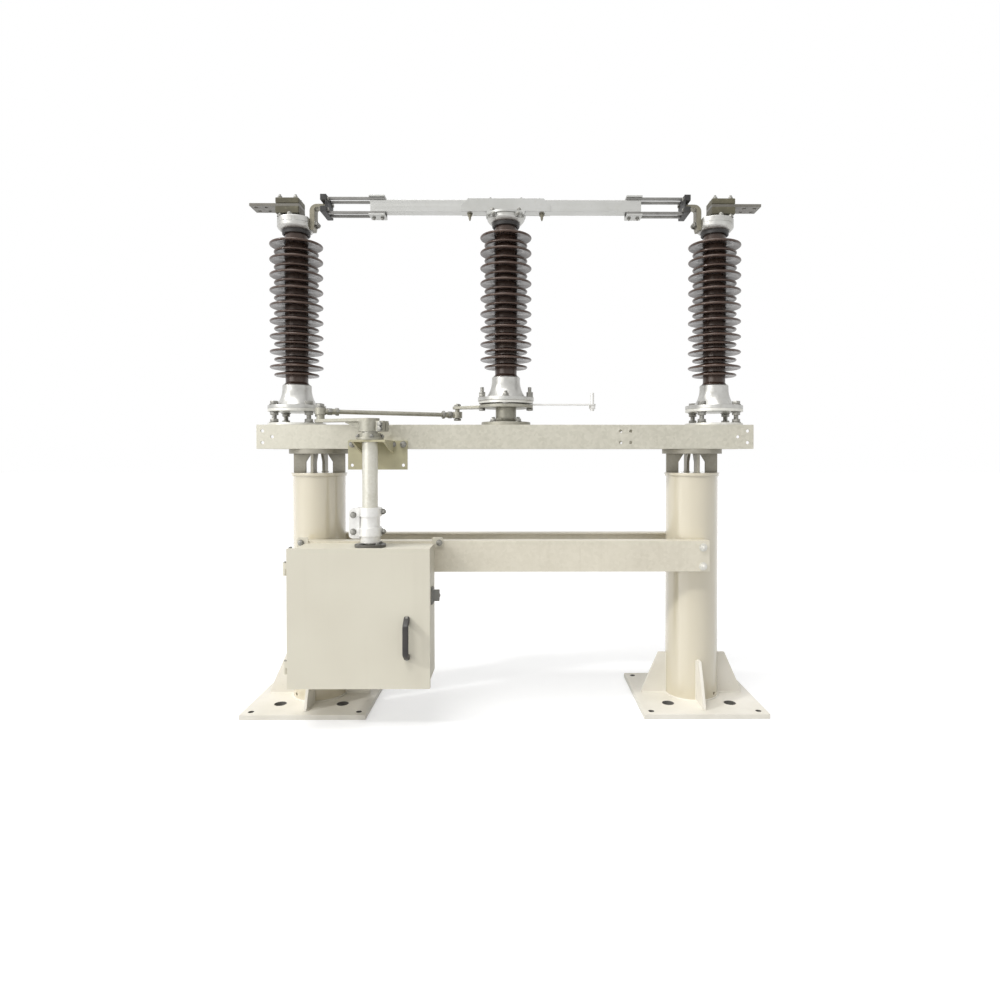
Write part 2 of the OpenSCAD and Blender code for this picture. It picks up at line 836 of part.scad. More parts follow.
// Plate on the beam's front web with a ribbed shelf for the pipe's bearing
module drive_bracket() {
    y = -beam_w / 2;
    x0 = -drive_x - bracket_w / 2;
    x1 = -drive_x + bracket_w / 2;
    pipe_gap = 3;
    hole_z = 18;
    inset = 2;
    rib_end = 12 - drive_y - shelf_overhang;
    color("#8c8a70") difference() {
        union() {
            block([x0, y - bracket_t, z_bracket - bracket_drop], [x1, y, z_bracket]);
            block([-drive_x - shelf_w / 2, -drive_y - shelf_overhang, z_bracket - shelf_t],
                  [-drive_x + shelf_w / 2, y - bracket_t + eps, z_bracket]);
            for (x = [inset - shelf_w / 2, shelf_w / 2 - inset - shelf_rib_t])
                translate([x - drive_x, 0, z_bracket - shelf_t]) rotate([90, 0, 90])
                    linear_extrude(shelf_rib_t) polygon([
                        [y - bracket_t + eps, eps], [y - bracket_t + eps, -shelf_rib_h],
                        [rib_end, -eps], [rib_end, eps]
                    ]);
        }
        translate([-drive_x, -drive_y, z_bracket - shelf_t - eps])
            cylinder(d = drive_pipe_d + 2 * pipe_gap, h = shelf_t + 2 * eps);
        for (x = [x0 + bracket_hole_inset, x1 - bracket_hole_inset])
            translate([x, y + eps, z_bracket - bracket_drop + hole_z])
                rotate([90, 0, 0]) cylinder(d = beam_hole_d, h = bracket_t + 2 * eps);
    }
}

module drive_bearing() {
    rim = 12;
    flange = 22;
    color("gray") translate([-drive_x, -drive_y, z_bracket]) difference() {
        union() {
            cylinder(d = drive_pipe_d + 2 * flange, h = bearing_flange_t);
            cylinder(d = drive_pipe_d + 2 * rim, h = bearing_h);
        }
        translate([0, 0, -eps]) cylinder(d = drive_pipe_d + 2 * running_fit, h = bearing_h + 2 * eps, $fn = 96);
    }
}

module drive_pipe() {
    z0 = z_coupling + coupling_split;
    bore_d = drive_pipe_d - 2 * drive_pipe_wall;
    color("lightgray") translate([-drive_x, -drive_y, z0]) difference() {
        cylinder(d = drive_pipe_d, h = z_crank - z0, $fn = 96);
        translate([0, 0, -eps]) cylinder(d = bore_d, h = z_crank - z0 + 2 * eps, $fn = 96);
    }
}

// Arm with a split clamp on the drive pipe, a rib under it and a pin at its tip
module crank() {
    bore_r = drive_pipe_d / 2 + fixed_fit;
    hub_r = hub_d / 2;
    pin_r = link_pin_d / 2;
    lobe_l = 25;
    lobe_w = 44;
    slit_w = 4;
    rib_l = 65;
    rib_h = 30;
    rib_tip_h = 4;
    rib_t = 10;
    sink = 2;
    collar_h = z_rod - rod_eye_h / 2 - 1 - z_crank;
    pin_h = z_rod + rod_eye_h / 2 + 16 - z_crank;
    color("gray") translate([-drive_x, -drive_y, z_crank]) {
        rotate(link_angle) linear_extrude(crank_t) polygon(link_outline(hub_r - 8, pin_r + 14, link_r));
        translate([0, 0, -hub_h]) linear_extrude(hub_h + 1) rotate(link_angle + 180) difference() {
            union() {
                circle(d = hub_d);
                translate([0, -lobe_w / 2]) square([hub_r + lobe_l, lobe_w]);
            }
            circle(r = bore_r, $fn = 96);
            translate([bore_r - 5, -slit_w / 2]) square([hub_d, slit_w]);
        }
        rotate([0, 0, link_angle]) rotate([90, 0, 0]) linear_extrude(rib_t, center = true) polygon([
            [hub_r - 4, sink], [hub_r - 4, -rib_h], [hub_r + rib_l, -rib_tip_h], [hub_r + rib_l, sink]
        ]);
        translate([-link_x, link_y, 0]) rotate_extrude() polygon([
            [0, 1], [pin_r + pin_flange + 1, 1], [pin_r + pin_flange + 1, collar_h],
            [pin_r, collar_h], [pin_r, pin_h], [0, pin_h]
        ]);
    }
}

// Rod with an eye at each end; the collars are the threaded ends with their lock nuts
module tie_rod() {
    rod_r = tie_rod_d / 2;
    eye_r = rod_eye_d / 2;
    end = eye_r - 4;
    collar_l = 45;
    collar_r = rod_r + 3;
    bore_h = rod_eye_h + 2 * eps;
    color("darkkhaki") translate([crank_tip[0], crank_tip[1], z_rod]) rotate([0, 0, rod_angle]) difference() {
        union() {
            for (x = [0, rod_l]) translate([x, 0, -rod_eye_h / 2]) cylinder(r = eye_r, h = rod_eye_h);
            rotate([0, 90, 0]) rotate_extrude() polygon([
                [0, end], [collar_r, end], [collar_r, end + collar_l], [rod_r, end + collar_l],
                [rod_r, rod_l - end - collar_l], [collar_r, rod_l - end - collar_l],
                [collar_r, rod_l - end], [0, rod_l - end]
            ]);
        }
        translate([0, 0, -bore_h / 2]) cylinder(d = link_pin_d + 2 * running_fit, h = bore_h, $fn = 96);
        translate([rod_l, 0, -bore_h / 2])
            cylinder(d = link_pin_d + 2 * open_pivot_gap, h = bore_h, $fn = 96);
    }
}

// Split sleeve that joins the output shaft to the drive pipe, with two clamp bands
module shaft_coupling() {
    sleeve_r = drive_pipe_d / 2 + 9;
    band_r = sleeve_r + 7;
    band_h = 34;
    ear = [50, 48];
    slit_w = 4;
    slit_end = 2 - output_d / 2;
    color("silver") translate([-drive_x, -drive_y, z_coupling]) difference() {
        union() {
            cylinder(r = sleeve_r, h = coupling_h);
            for (z = [coupling_split - band_h, coupling_h - band_h]) translate([0, 0, z])
                linear_extrude(band_h) union() {
                    circle(r = band_r);
                    translate([-ear[0], -ear[1] / 2]) square(ear);
                }
        }
        translate([0, 0, -eps]) cylinder(d = output_d + 2 * fixed_fit, h = coupling_split + 2 * eps);
        translate([0, 0, coupling_split]) cylinder(d = drive_pipe_d + 2 * fixed_fit, h = coupling_h);
        block([-ear[0] - eps, -slit_w / 2, -eps], [slit_end, slit_w / 2, coupling_h + eps]);
    }
}

module output_shaft() {
    z0 = box_roof_z - output_depth;
    z1 = z_coupling + coupling_split - 10;
    color("silver") translate([-drive_x, -drive_y, z0]) cylinder(d = output_d, h = z1 - z0, $fn = 96);
}

// --- Mechanism box ---

// Sheet box with a rimmed front opening, a hole for the shaft and the fixed hinge halves
module box_shell() {
    w = box_wall;
    leaf_y = y_door_back + door_gap + face_gap;
    color("ivory") {
        difference() {
            block([box_left, y_box_front, z_box], [box_right, y_box_back, box_roof_z]);
            block([box_left + w, y_box_front + w, z_box + w], [box_right - w, y_box_back - w, box_roof_z - w]);
            block([box_left + box_rim, y_box_front - eps, z_box + box_rim],
                  [box_right - box_rim, y_box_front + w + eps, box_roof_z - box_rim]);
            translate([-drive_x, -drive_y, box_roof_z - w - eps])
                cylinder(d = output_d + 2 * roof_hole_gap, h = w + 2 * eps);
        }
        for (z = hinge_z) translate([x_hinge, y_hinge, z]) {
            translate([0, 0, -hinge_knuckle_h]) cylinder(r = hinge_r, h = hinge_knuckle_h);
            translate([0, 0, -eps]) cylinder(d = hinge_pin_d, h = hinge_knuckle_h + 4);
            translate([-hinge_r, leaf_y - y_hinge, -hinge_knuckle_h])
                cube([box_left - x_hinge + hinge_r, hinge_leaf_t, hinge_knuckle_h]);
        }
    }
}

module roof_ring() {
    bore_gap = 3;
    color("dimgray") translate([-drive_x, -drive_y, box_roof_z]) difference() {
        cylinder(d = roof_ring_d, h = roof_ring_h);
        translate([0, 0, -eps]) cylinder(d = output_d + 2 * bore_gap, h = roof_ring_h + 2 * eps);
    }
}

// Gear housing under the roof, with a neck round the output shaft
module gearbox() {
    half_w = 90;
    front_d = 62;
    body_h = 176;
    neck_d = 90;
    neck_h = 24;
    bore_h = output_depth + 10;
    top = box_roof_z - box_wall - 14;
    z1 = top - neck_h;
    color("gray") difference() {
        union() {
            block([-drive_x - half_w, -drive_y - front_d, z1 - body_h],
                  [-drive_x + half_w, y_box_back - box_wall, z1]);
            translate([-drive_x, -drive_y, z1 - eps]) cylinder(d = neck_d, h = neck_h + eps);
        }
        translate([-drive_x, -drive_y, box_roof_z - bore_h])
            cylinder(d = output_d + 2 * running_fit, h = bore_h, $fn = 96);
    }
}

// Folded sheet door with its hinge halves
module box_door() {
    z0 = z_box - door_overhang;
    z1 = box_roof_z + door_overhang;
    color("ivory") {
        difference() {
            block([door_left, y_door, z0], [door_right, y_door_back, z1]);
            block([door_left + door_t, y_door + door_t, z0 + door_t],
                  [door_right - door_t, y_door_back + eps, z1 - door_t]);
        }
        for (z = hinge_z) translate([x_hinge, y_hinge, z + face_gap]) difference() {
            union() {
                cylinder(r = hinge_r, h = hinge_knuckle_h);
                translate([0, -hinge_r, 0]) cube([door_left - x_hinge + eps, hinge_leaf_t, hinge_knuckle_h]);
            }
            translate([0, 0, -eps]) cylinder(d = hinge_pin_d + 2 * running_fit, h = hinge_knuckle_h + 2 * eps);
        }
    }
}

// Arched pull handle with splayed feet
module door_handle() {
    w = 22;
    stand = 42;
    bar_t = 14;
    foot_l = 26;
    inner_l = grip_l / 2 - 6;
    inset = 86;
    lift = 183;
    color("#222222") translate([door_right - inset, y_door, z_box + lift]) rotate([90, 0, 90])
        linear_extrude(w, center = true) polygon([
            [0, -handle_l / 2], [0, foot_l - handle_l / 2], [bar_t - stand, -inner_l],
            [bar_t - stand, inner_l], [0, handle_l / 2 - foot_l], [0, handle_l / 2],
            [-stand + 5, grip_l / 2 + 4], [-stand, grip_l / 2 - 6],
            [-stand, 6 - grip_l / 2], [-stand + 5, -grip_l / 2 - 4]
        ]);
}

module side_latch() {
    plate = [6, 36, 68];
    knob = [26, 16, 44];
    lift = 320;
    color("dimgray") translate([box_right, (y_box_front + y_box_back) / 2, z_box + lift]) {
        translate([0, -plate[1] / 2, -plate[2] / 2]) cube(plate);
        translate([plate[0] - eps, -knob[1] / 2, -knob[2] / 2]) cube(knob);
    }
}

base_plates();
base_gussets();
columns();
column_caps();
head_ribs();
head_flanges();
beam_channels();
cross_channels();
seat_plates();
levelling_studs();
levelling_plates();
outer_post_bases();
outer_porcelains();
outer_post_caps();
centre_post_base();
centre_porcelain();
centre_post_cap();
terminal_heads();
terminal_bars();
terminal_clamps();
contact_tongues();
bearing_pedestal();
turntable();
rotor_flange();
turntable_bolts();
coupling_arm();
blade_bracket();
blade_tube();
blade_sleeve();
contact_fingers();
finger_clamps();
contact_jaws();
drive_bracket();
drive_bearing();
drive_pipe();
crank();
tie_rod();
shaft_coupling();
output_shaft();
box_shell();
roof_ring();
gearbox();
box_door();
door_handle();
side_latch();
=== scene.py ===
import json
from math import cos, pi, radians, sin
import bpy
from mathutils import Matrix, Vector


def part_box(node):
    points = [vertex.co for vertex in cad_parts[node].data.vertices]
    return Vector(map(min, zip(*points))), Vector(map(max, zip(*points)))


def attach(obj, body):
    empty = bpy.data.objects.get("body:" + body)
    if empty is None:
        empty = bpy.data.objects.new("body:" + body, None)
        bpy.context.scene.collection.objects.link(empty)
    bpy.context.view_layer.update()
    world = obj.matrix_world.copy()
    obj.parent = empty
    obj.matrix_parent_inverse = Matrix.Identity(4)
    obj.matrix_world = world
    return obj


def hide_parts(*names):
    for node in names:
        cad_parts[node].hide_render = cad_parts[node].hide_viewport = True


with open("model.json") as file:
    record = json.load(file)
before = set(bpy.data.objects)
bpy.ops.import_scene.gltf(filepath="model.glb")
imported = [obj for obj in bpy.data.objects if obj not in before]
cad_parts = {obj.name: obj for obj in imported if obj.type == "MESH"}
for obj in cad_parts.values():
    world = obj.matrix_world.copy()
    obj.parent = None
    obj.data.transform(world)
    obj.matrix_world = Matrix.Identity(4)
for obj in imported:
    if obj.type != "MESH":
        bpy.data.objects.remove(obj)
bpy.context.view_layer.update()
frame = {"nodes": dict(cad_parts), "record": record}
nodes = frame["nodes"]
record = frame["record"]
scene = bpy.context.scene
mm = 0.001
sides = (-1, 1)
footCone = 86  # height of the cone over a foot fitting's flange
bodyOfNode = {n: b for b, members in record["behaviour"]["bodies"].items() for n in members}
slotOfNode = {part["node"]: part["material_slot"] for part in record["subparts"]}
print("frame loaded:", len(nodes), "nodes")


def middle(node):
    lo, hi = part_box(node)
    return (lo + hi) / 2 / mm


def low(node):
    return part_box(node)[0] / mm


def high(node):
    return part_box(node)[1] / mm


# Places on the switch, in millimetres, read from the construction
places = {
    "columnX": high("base_plates").x - high("base_plates").y,
    "postX": high("seat_plates").x - high("seat_plates").y,
    "beamFront": low("beam_channels").y,
    "deck": high("beam_channels").z,
    "flange": high("outer_post_bases").z - footCone,
    "shaft": middle("drive_pipe").xy,
    "bladeTop": high("blade_tube").z,
    "bladeUnder": low("blade_tube").z,
    "doorFace": low("box_door").y,
}


def clearSelection():
    if bpy.context.object and bpy.context.object.mode != "OBJECT":
        bpy.ops.object.mode_set(mode="OBJECT")
    bpy.ops.object.select_all(action="DESELECT")


def takeUp(*things):
    clearSelection()
    for thing in things:
        thing.select_set(True)
    bpy.context.view_layer.objects.active = things[0]


def settle(thing):
    takeUp(thing)
    bpy.ops.object.transform_apply(location=True, rotation=True, scale=True)
    return thing


def applyModifier(thing, modifier):
    takeUp(thing)
    bpy.ops.object.modifier_apply(modifier=modifier.name)


# Eases the sharp edges and shades the rest smooth; flat faces keep an even shade
def soften(thing, width, segments=2, angle=35):
    if width:
        edge = thing.modifiers.new("softEdge", "BEVEL")
        edge.width = width * mm
        edge.segments = segments
        edge.limit_method = "ANGLE"
        edge.angle_limit = radians(angle)
        edge.use_clamp_overlap = False
        edge.loop_slide = False
        applyModifier(thing, edge)
    takeUp(thing)
    bpy.ops.object.shade_smooth_by_angle(angle=radians(angle))
    if width:
        even = thing.modifiers.new("evenFaces", "WEIGHTED_NORMAL")
        even.keep_sharp = True
        applyModifier(thing, even)
    return thing


def joinUp(name, parts):
    takeUp(*parts)
    if len(parts) > 1:
        bpy.ops.object.join()
    parts[0].name = name
    parts[0].data.name = name
    return parts[0]


# Gives a piece its finish and its body, and hides the solids that it stands for
def putOn(thing, body, slot, finish, *stoodFor):
    thing.data.materials.clear()
    thing.data.materials.append(finish)
    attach(thing, body)
    if stoodFor:
        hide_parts(*stoodFor)
    return thing


# A copy of a construction solid, merged and with eased edges, that takes its place
def dress(node, finish, width=1.0, segments=2, angle=35):
    name = node.split("_")[0] + "".join(w.capitalize() for w in node.split("_")[1:])
    piece = bpy.data.objects.new(name, nodes[node].data.copy())
    scene.collection.objects.link(piece)
    takeUp(piece)
    bpy.ops.object.mode_set(mode="EDIT")
    bpy.ops.mesh.select_all(action="SELECT")
    bpy.ops.mesh.customdata_custom_splitnormals_clear()
    bpy.ops.mesh.remove_doubles(threshold=0.00002)
    bpy.ops.mesh.dissolve_limited(angle_limit=radians(0.6))
    bpy.ops.object.mode_set(mode="OBJECT")
    soften(piece, width, segments, angle)
    return putOn(piece, bodyOfNode[node], slotOfNode[node], finish, node)


# One procedural material; every pattern on it reads Object coordinates
class Wiring:
    def __init__(self, name):
        self.material = bpy.data.materials.new(name)
        self.material.use_nodes = True
        self.tree = self.material.node_tree
        self.tree.nodes.clear()
        self.shader = self.node("ShaderNodeBsdfPrincipled")
        out = self.node("ShaderNodeOutputMaterial")
        self.join(self.shader.outputs["BSDF"], out.inputs["Surface"])
        self.place = self.node("ShaderNodeTexCoord").outputs["Object"]

    def node(self, kind, **settings):
        made = self.tree.nodes.new(kind)
        for key, value in settings.items():
            setattr(made, key, value)
        return made

    def join(self, a, b):
        self.tree.links.new(a, b)

    def stretched(self, scale):
        turn = self.node("ShaderNodeMapping")
        turn.inputs["Scale"].default_value = scale
        self.join(self.place, turn.inputs["Vector"])
        return turn.outputs["Vector"]

    def noise(self, scale, detail=4.0, stretch=None, roughness=0.55):
        made = self.node("ShaderNodeTexNoise")
        made.inputs["Scale"].default_value = scale
        made.inputs["Detail"].default_value = detail
        made.inputs["Roughness"].default_value = roughness
        self.join(self.stretched(stretch) if stretch else self.place, made.inputs["Vector"])
        return made.outputs["Fac"]

    def spread(self, value, fromLow, fromHigh, toLow, toHigh):
        made = self.node("ShaderNodeMapRange")
        for key, number in zip(("From Min", "From Max", "To Min", "To Max"),
                               (fromLow, fromHigh, toLow, toHigh)):
            made.inputs[key].default_value = number
        self.join(value, made.inputs["Value"])
        return made.outputs["Result"]

    def blend(self, share, first, second):
        made = self.node("ShaderNodeMix", data_type="RGBA")
        self.join(share, made.inputs["Factor"])
        for socket, value in ((made.inputs[6], first), (made.inputs[7], second)):
            if isinstance(value, tuple):
                socket.default_value = (*value, 1)
            else:
                self.join(value, socket)
        return made.outputs[2]

    def bumps(self, heights):
        last = None
        for height, strength, distance in heights:
            made = self.node("ShaderNodeBump")
            made.inputs["Strength"].default_value = strength
            made.inputs["Distance"].default_value = distance * mm
            self.join(height, made.inputs["Height"])
            if last:
                self.join(last, made.inputs["Normal"])
            last = made.outputs["Normal"]
        self.join(last, self.shader.inputs["Normal"])


def plain(wiring, **values):
    for key, value in values.items():
        wiring.shader.inputs[key.replace("_", " ")].default_value = value


# Sprayed paint: two close tints, rain streaks, dust spots, darker towards the bottom, and orange peel
def sprayedPaint(name, look):
    w = Wiring(name)
    tint = w.blend(w.spread(w.noise(look["cloud"], 2), 0.3, 0.7, 0, 1), look["colour"], look["second"])
    streak = w.spread(w.noise(22, 5, (1, 1, 0.06)), 0.56, 0.78, 0, look["streak"])
    tint = w.blend(streak, tint, look["dirt"])
    dust = w.spread(w.noise(90, 6), 0.62, 0.8, 0, look["dust"])
    tint = w.blend(dust, tint, look["dirt"])
    # Darker towards the bottom, over the lowest 0.22 m
    if look.get("lowDarkening"):
        split = w.node("ShaderNodeSeparateXYZ")
        w.join(w.place, split.inputs[0])
        heightShare = w.spread(split.outputs["Z"], 0.0, 0.22, look["lowDarkening"], 0)
        tint = w.blend(heightShare, tint, look["dirt"])
    w.join(tint, w.shader.inputs["Base Color"])
    w.join(w.spread(w.noise(14), 0.3, 0.7, *look["gloss"]), w.shader.inputs["Roughness"])
    w.bumps([(w.noise(420, 2), look["peel"], 0.6), (w.noise(9, 2), look["peel"] * 0.6, 3)])
    plain(w, Coat_Weight=look.get("coat", 0.0), Coat_Roughness=0.14, Coat_IOR=look.get("coatIor", 1.5),
          Specular_IOR_Level=0.5)
    return w.material


# Hot-dip zinc: spangle, chalky clouds and small runs
def dippedZinc(name, look):
    w = Wiring(name)
    cells = w.node("ShaderNodeTexVoronoi")
    cells.inputs["Scale"].default_value = look["spangle"]
    w.join(w.place, cells.inputs["Vector"])
    grey = w.node("ShaderNodeSeparateColor")
    w.join(cells.outputs["Color"], grey.inputs[0])
    spangle = grey.outputs[0]
    tint = w.blend(w.spread(w.noise(look["cloud"], 5), 0.35, 0.65, 0, 1), look["colour"], look["second"])
    tint = w.blend(w.spread(spangle, 0, 1, 0, look["flake"]), tint, look["bright"])
    streak = w.spread(w.noise(30, 5, (1, 1, 0.08)), 0.58, 0.8, 0, look["streak"])
    tint = w.blend(streak, tint, look["dirt"])
    w.join(tint, w.shader.inputs["Base Color"])
    w.join(w.spread(spangle, 0, 1, *look["gloss"]), w.shader.inputs["Roughness"])
    w.bumps([(w.noise(300, 3), look["grain"], 0.5), (spangle, look["grain"] * 0.25, 0.3)])
    plain(w, Metallic=look["metal"])
    return w.material


# Cast or rolled bare metal: sand grain, brushed lines and a dull film
def bareMetal(name, look):
    w = Wiring(name)
    tint = w.blend(w.spread(w.noise(look["cloud"], 5), 0.35, 0.65, 0, 1), look["colour"], look["second"])
    film = w.spread(w.noise(60, 6), 0.55, 0.75, 0, look["film"])
    tint = w.blend(film, tint, look["dirt"])
    w.join(tint, w.shader.inputs["Base Color"])
    lines = w.noise(look["lineScale"], 3, look["lineWay"])
    w.join(w.spread(lines, 0.3, 0.7, *look["gloss"]), w.shader.inputs["Roughness"])
    w.bumps([(w.noise(look["sand"], 3), look["grain"], 0.5), (lines, look["grain"] * 0.4, 0.2)])
    plain(w, Metallic=look["metal"])
    return w.material


# Brown salt glaze over porcelain: deep colour, thinner and redder at the rims
def brownGlaze(name, look):
    w = Wiring(name)
    tint = w.blend(w.spread(w.noise(look["cloud"], 4), 0.35, 0.65, 0, 1), look["colour"], look["second"])
    bend = w.node("ShaderNodeNewGeometry").outputs["Pointiness"]
    tint = w.blend(w.spread(bend, 0.52, 0.62, 0, look["rimShare"]), tint, look["rim"])
    speck = w.spread(w.noise(260, 3), 0.66, 0.74, 0, 0.35)
    tint = w.blend(speck, tint, look["rim"])
    w.join(tint, w.shader.inputs["Base Color"])
    w.join(w.spread(w.noise(35, 3), 0.3, 0.7, *look["gloss"]), w.shader.inputs["Roughness"])
    w.bumps([(w.noise(55, 2), 0.05, 1.0), (w.noise(500, 2), 0.02, 0.3)])
    plain(w, Coat_Weight=look["coat"], Coat_Roughness=0.10, Specular_IOR_Level=0.55, Specular_Tint=(*look["glint"], 1))
    return w.material


paints = {
    "columnCream": dict(colour=(0.605, 0.55, 0.415), second=(0.585, 0.53, 0.40), dirt=(0.36, 0.30, 0.20), cloud=1.2,
                        streak=0.04, dust=0.0, lowDarkening=0.10, gloss=(0.28, 0.31), peel=0.02, coat=1.0,
                        coatIor=1.8),
    "footCream": dict(colour=(0.76, 0.73, 0.66), second=(0.67, 0.64, 0.56), dirt=(0.34, 0.31, 0.26), cloud=5,
                      streak=0.08, dust=0.18, gloss=(0.40, 0.55), peel=0.10),
    "boxCream": dict(colour=(0.655, 0.625, 0.52), second=(0.615, 0.58, 0.48), dirt=(0.38, 0.34, 0.26), cloud=2.5,
                     streak=0.06, dust=0.05, gloss=(0.48, 0.58), peel=0.12),
    "bracketOlive": dict(colour=(0.50, 0.465, 0.305), second=(0.43, 0.40, 0.26), dirt=(0.15, 0.13, 0.09), cloud=9,
                         streak=0.12, dust=0.22, gloss=(0.42, 0.58), peel=0.10),
    "latchGrey": dict(colour=(0.30, 0.30, 0.28), second=(0.24, 0.24, 0.225), dirt=(0.05, 0.05, 0.05), cloud=20,
                      streak=0.1, dust=0.2, gloss=(0.35, 0.5), peel=0.06),
    "ringPaint": dict(colour=(0.12, 0.115, 0.10), second=(0.09, 0.085, 0.075), dirt=(0.25, 0.22, 0.17), cloud=20,
                      streak=0.1, dust=0.2, gloss=(0.4, 0.55), peel=0.06),
    "machineGrey": dict(colour=(0.42, 0.43, 0.42), second=(0.37, 0.38, 0.37), dirt=(0.12, 0.11, 0.10), cloud=8,
                        streak=0.1, dust=0.2, gloss=(0.35, 0.5), peel=0.08),
    "gripBlack": dict(colour=(0.022, 0.020, 0.019), second=(0.035, 0.031, 0.028), dirt=(0.10, 0.09, 0.08), cloud=30,
                      streak=0.05, dust=0.15, gloss=(0.36, 0.5), peel=0.18),
}
zincs = {
    "beamZinc": dict(colour=(0.545, 0.525, 0.44), second=(0.475, 0.455, 0.375), bright=(0.72, 0.69, 0.60),
                     flake=0.35, dirt=(0.30, 0.26, 0.18), streak=0.14, cloud=3.5, spangle=85, gloss=(0.36, 0.52),
                     grain=0.12, metal=0.35),
    "crossZinc": dict(colour=(0.66, 0.62, 0.51), second=(0.58, 0.54, 0.44), bright=(0.76, 0.72, 0.62), flake=0.3,
                      dirt=(0.34, 0.29, 0.20), streak=0.12, cloud=3, spangle=80, gloss=(0.38, 0.52), grain=0.12,
                      metal=0.3),
    # Rib zinc is darker than the other zinc: painted shade from the beam over the column heads, on ribs, flanges and
    # their welds
    "shadedRibZinc": dict(colour=(0.31, 0.29, 0.235), second=(0.25, 0.235, 0.19), bright=(0.40, 0.38, 0.33), flake=0.4,
                    dirt=(0.12, 0.10, 0.08), streak=0.2, cloud=9, spangle=110, gloss=(0.38, 0.55), grain=0.18,
                    metal=0.5),
    "plateZinc": dict(colour=(0.70, 0.69, 0.63), second=(0.62, 0.61, 0.55), bright=(0.80, 0.79, 0.75), flake=0.4,
                      dirt=(0.30, 0.28, 0.22), streak=0.1, cloud=9, spangle=120, gloss=(0.3, 0.46), grain=0.12,
                      metal=0.45),
    "studZinc": dict(colour=(0.27, 0.265, 0.24), second=(0.20, 0.195, 0.175), bright=(0.42, 0.41, 0.38), flake=0.5,
                     dirt=(0.10, 0.09, 0.07), streak=0.1, cloud=30, spangle=220, gloss=(0.3, 0.48), grain=0.15,
                     metal=0.7),
    "fittingZinc": dict(colour=(0.66, 0.65, 0.60), second=(0.56, 0.55, 0.50), bright=(0.78, 0.77, 0.73), flake=0.35,
                        dirt=(0.26, 0.24, 0.19), streak=0.12, cloud=12, spangle=130, gloss=(0.3, 0.48), grain=0.22,
                        metal=0.5),
    "linkZinc": dict(colour=(0.37, 0.355, 0.29), second=(0.29, 0.28, 0.225), bright=(0.48, 0.465, 0.41), flake=0.4,
                     dirt=(0.14, 0.12, 0.09), streak=0.12, cloud=14, spangle=150, gloss=(0.34, 0.52), grain=0.14,
                     metal=0.5),
    "pipeZinc": dict(colour=(0.62, 0.605, 0.525), second=(0.545, 0.525, 0.445), bright=(0.76, 0.75, 0.70),
                     flake=0.35, dirt=(0.30, 0.28, 0.18), streak=0.14, cloud=7, spangle=130, gloss=(0.28, 0.42),
                     grain=0.12, metal=0.45),
    "armZinc": dict(colour=(0.80, 0.79, 0.76), second=(0.72, 0.71, 0.68), bright=(0.86, 0.86, 0.84), flake=0.3,
                    dirt=(0.4, 0.38, 0.33), streak=0.08, cloud=12, spangle=150, gloss=(0.28, 0.42), grain=0.1,
                    metal=0.4),
}
metals = {
    "castAlloy": dict(colour=(0.56, 0.555, 0.53), second=(0.45, 0.445, 0.42), dirt=(0.34, 0.32, 0.27), film=0.45,
                      cloud=16, lineScale=90, lineWay=(1, 1, 1), gloss=(0.30, 0.44), sand=380, grain=0.26,
                      metal=0.85),
    "bladeAlloy": dict(colour=(0.56, 0.56, 0.54), second=(0.50, 0.50, 0.475), dirt=(0.42, 0.41, 0.36), film=0.25,
                       cloud=5, lineScale=30, lineWay=(0.05, 9, 9), gloss=(0.30, 0.42), sand=700, grain=0.05,
                       metal=0.75),
    "sleeveAlloy": dict(colour=(0.52, 0.52, 0.50), second=(0.46, 0.46, 0.435), dirt=(0.42, 0.40, 0.35), film=0.25,
                        cloud=7, lineScale=30, lineWay=(0.05, 9, 9), gloss=(0.34, 0.46), sand=700, grain=0.05,
                        metal=0.7),
    "headAlloy": dict(colour=(0.115, 0.105, 0.065), second=(0.075, 0.068, 0.045), dirt=(0.24, 0.22, 0.15),
                      film=0.35, cloud=10, lineScale=60, lineWay=(1, 1, 1), gloss=(0.42, 0.58), sand=260,
                      grain=0.28, metal=0.3),
    "terminalAlloy": dict(colour=(0.19, 0.18, 0.155), second=(0.15, 0.14, 0.12), dirt=(0.10, 0.09, 0.07), film=0.3,
                          cloud=9, lineScale=30, lineWay=(0.08, 8, 8), gloss=(0.32, 0.46), sand=600, grain=0.06,
                          metal=0.35),
    "tongueAlloy": dict(colour=(0.27, 0.25, 0.19), second=(0.21, 0.195, 0.15), dirt=(0.14, 0.13, 0.10), film=0.4,
                        cloud=14, lineScale=40, lineWay=(1, 0.1, 1), gloss=(0.3, 0.45), sand=500, grain=0.08,
                        metal=0.7),
    "fingerSteel": dict(colour=(0.26, 0.255, 0.24), second=(0.20, 0.195, 0.185), dirt=(0.08, 0.08, 0.07), film=0.3,
                        cloud=12, lineScale=40, lineWay=(0.1, 6, 6), gloss=(0.34, 0.5), sand=500, grain=0.08,
                        metal=0.7),
    "jawBlack": dict(colour=(0.045, 0.044, 0.042), second=(0.030, 0.029, 0.028), dirt=(0.10, 0.095, 0.085),
                     film=0.3, cloud=18, lineScale=60, lineWay=(1, 1, 1), gloss=(0.42, 0.58), sand=320, grain=0.16,
                     metal=0.3),
}
glaze = dict(colour=(0.040, 0.022, 0.016), second=(0.054, 0.031, 0.022), rim=(0.11, 0.062, 0.044), rimShare=0.6,
             cloud=8, gloss=(0.24, 0.34), coat=0.15, glint=(1.0, 0.90, 0.83))

finishes = {name: sprayedPaint(name, look) for name, look in paints.items()}
finishes.update({name: dippedZinc(name, look) for name, look in zincs.items()})
finishes.update({name: bareMetal(name, look) for name, look in metals.items()})
finishes["glazeBrown"] = brownGlaze("glazeBrown", glaze)
print("finishes made:", len(finishes))

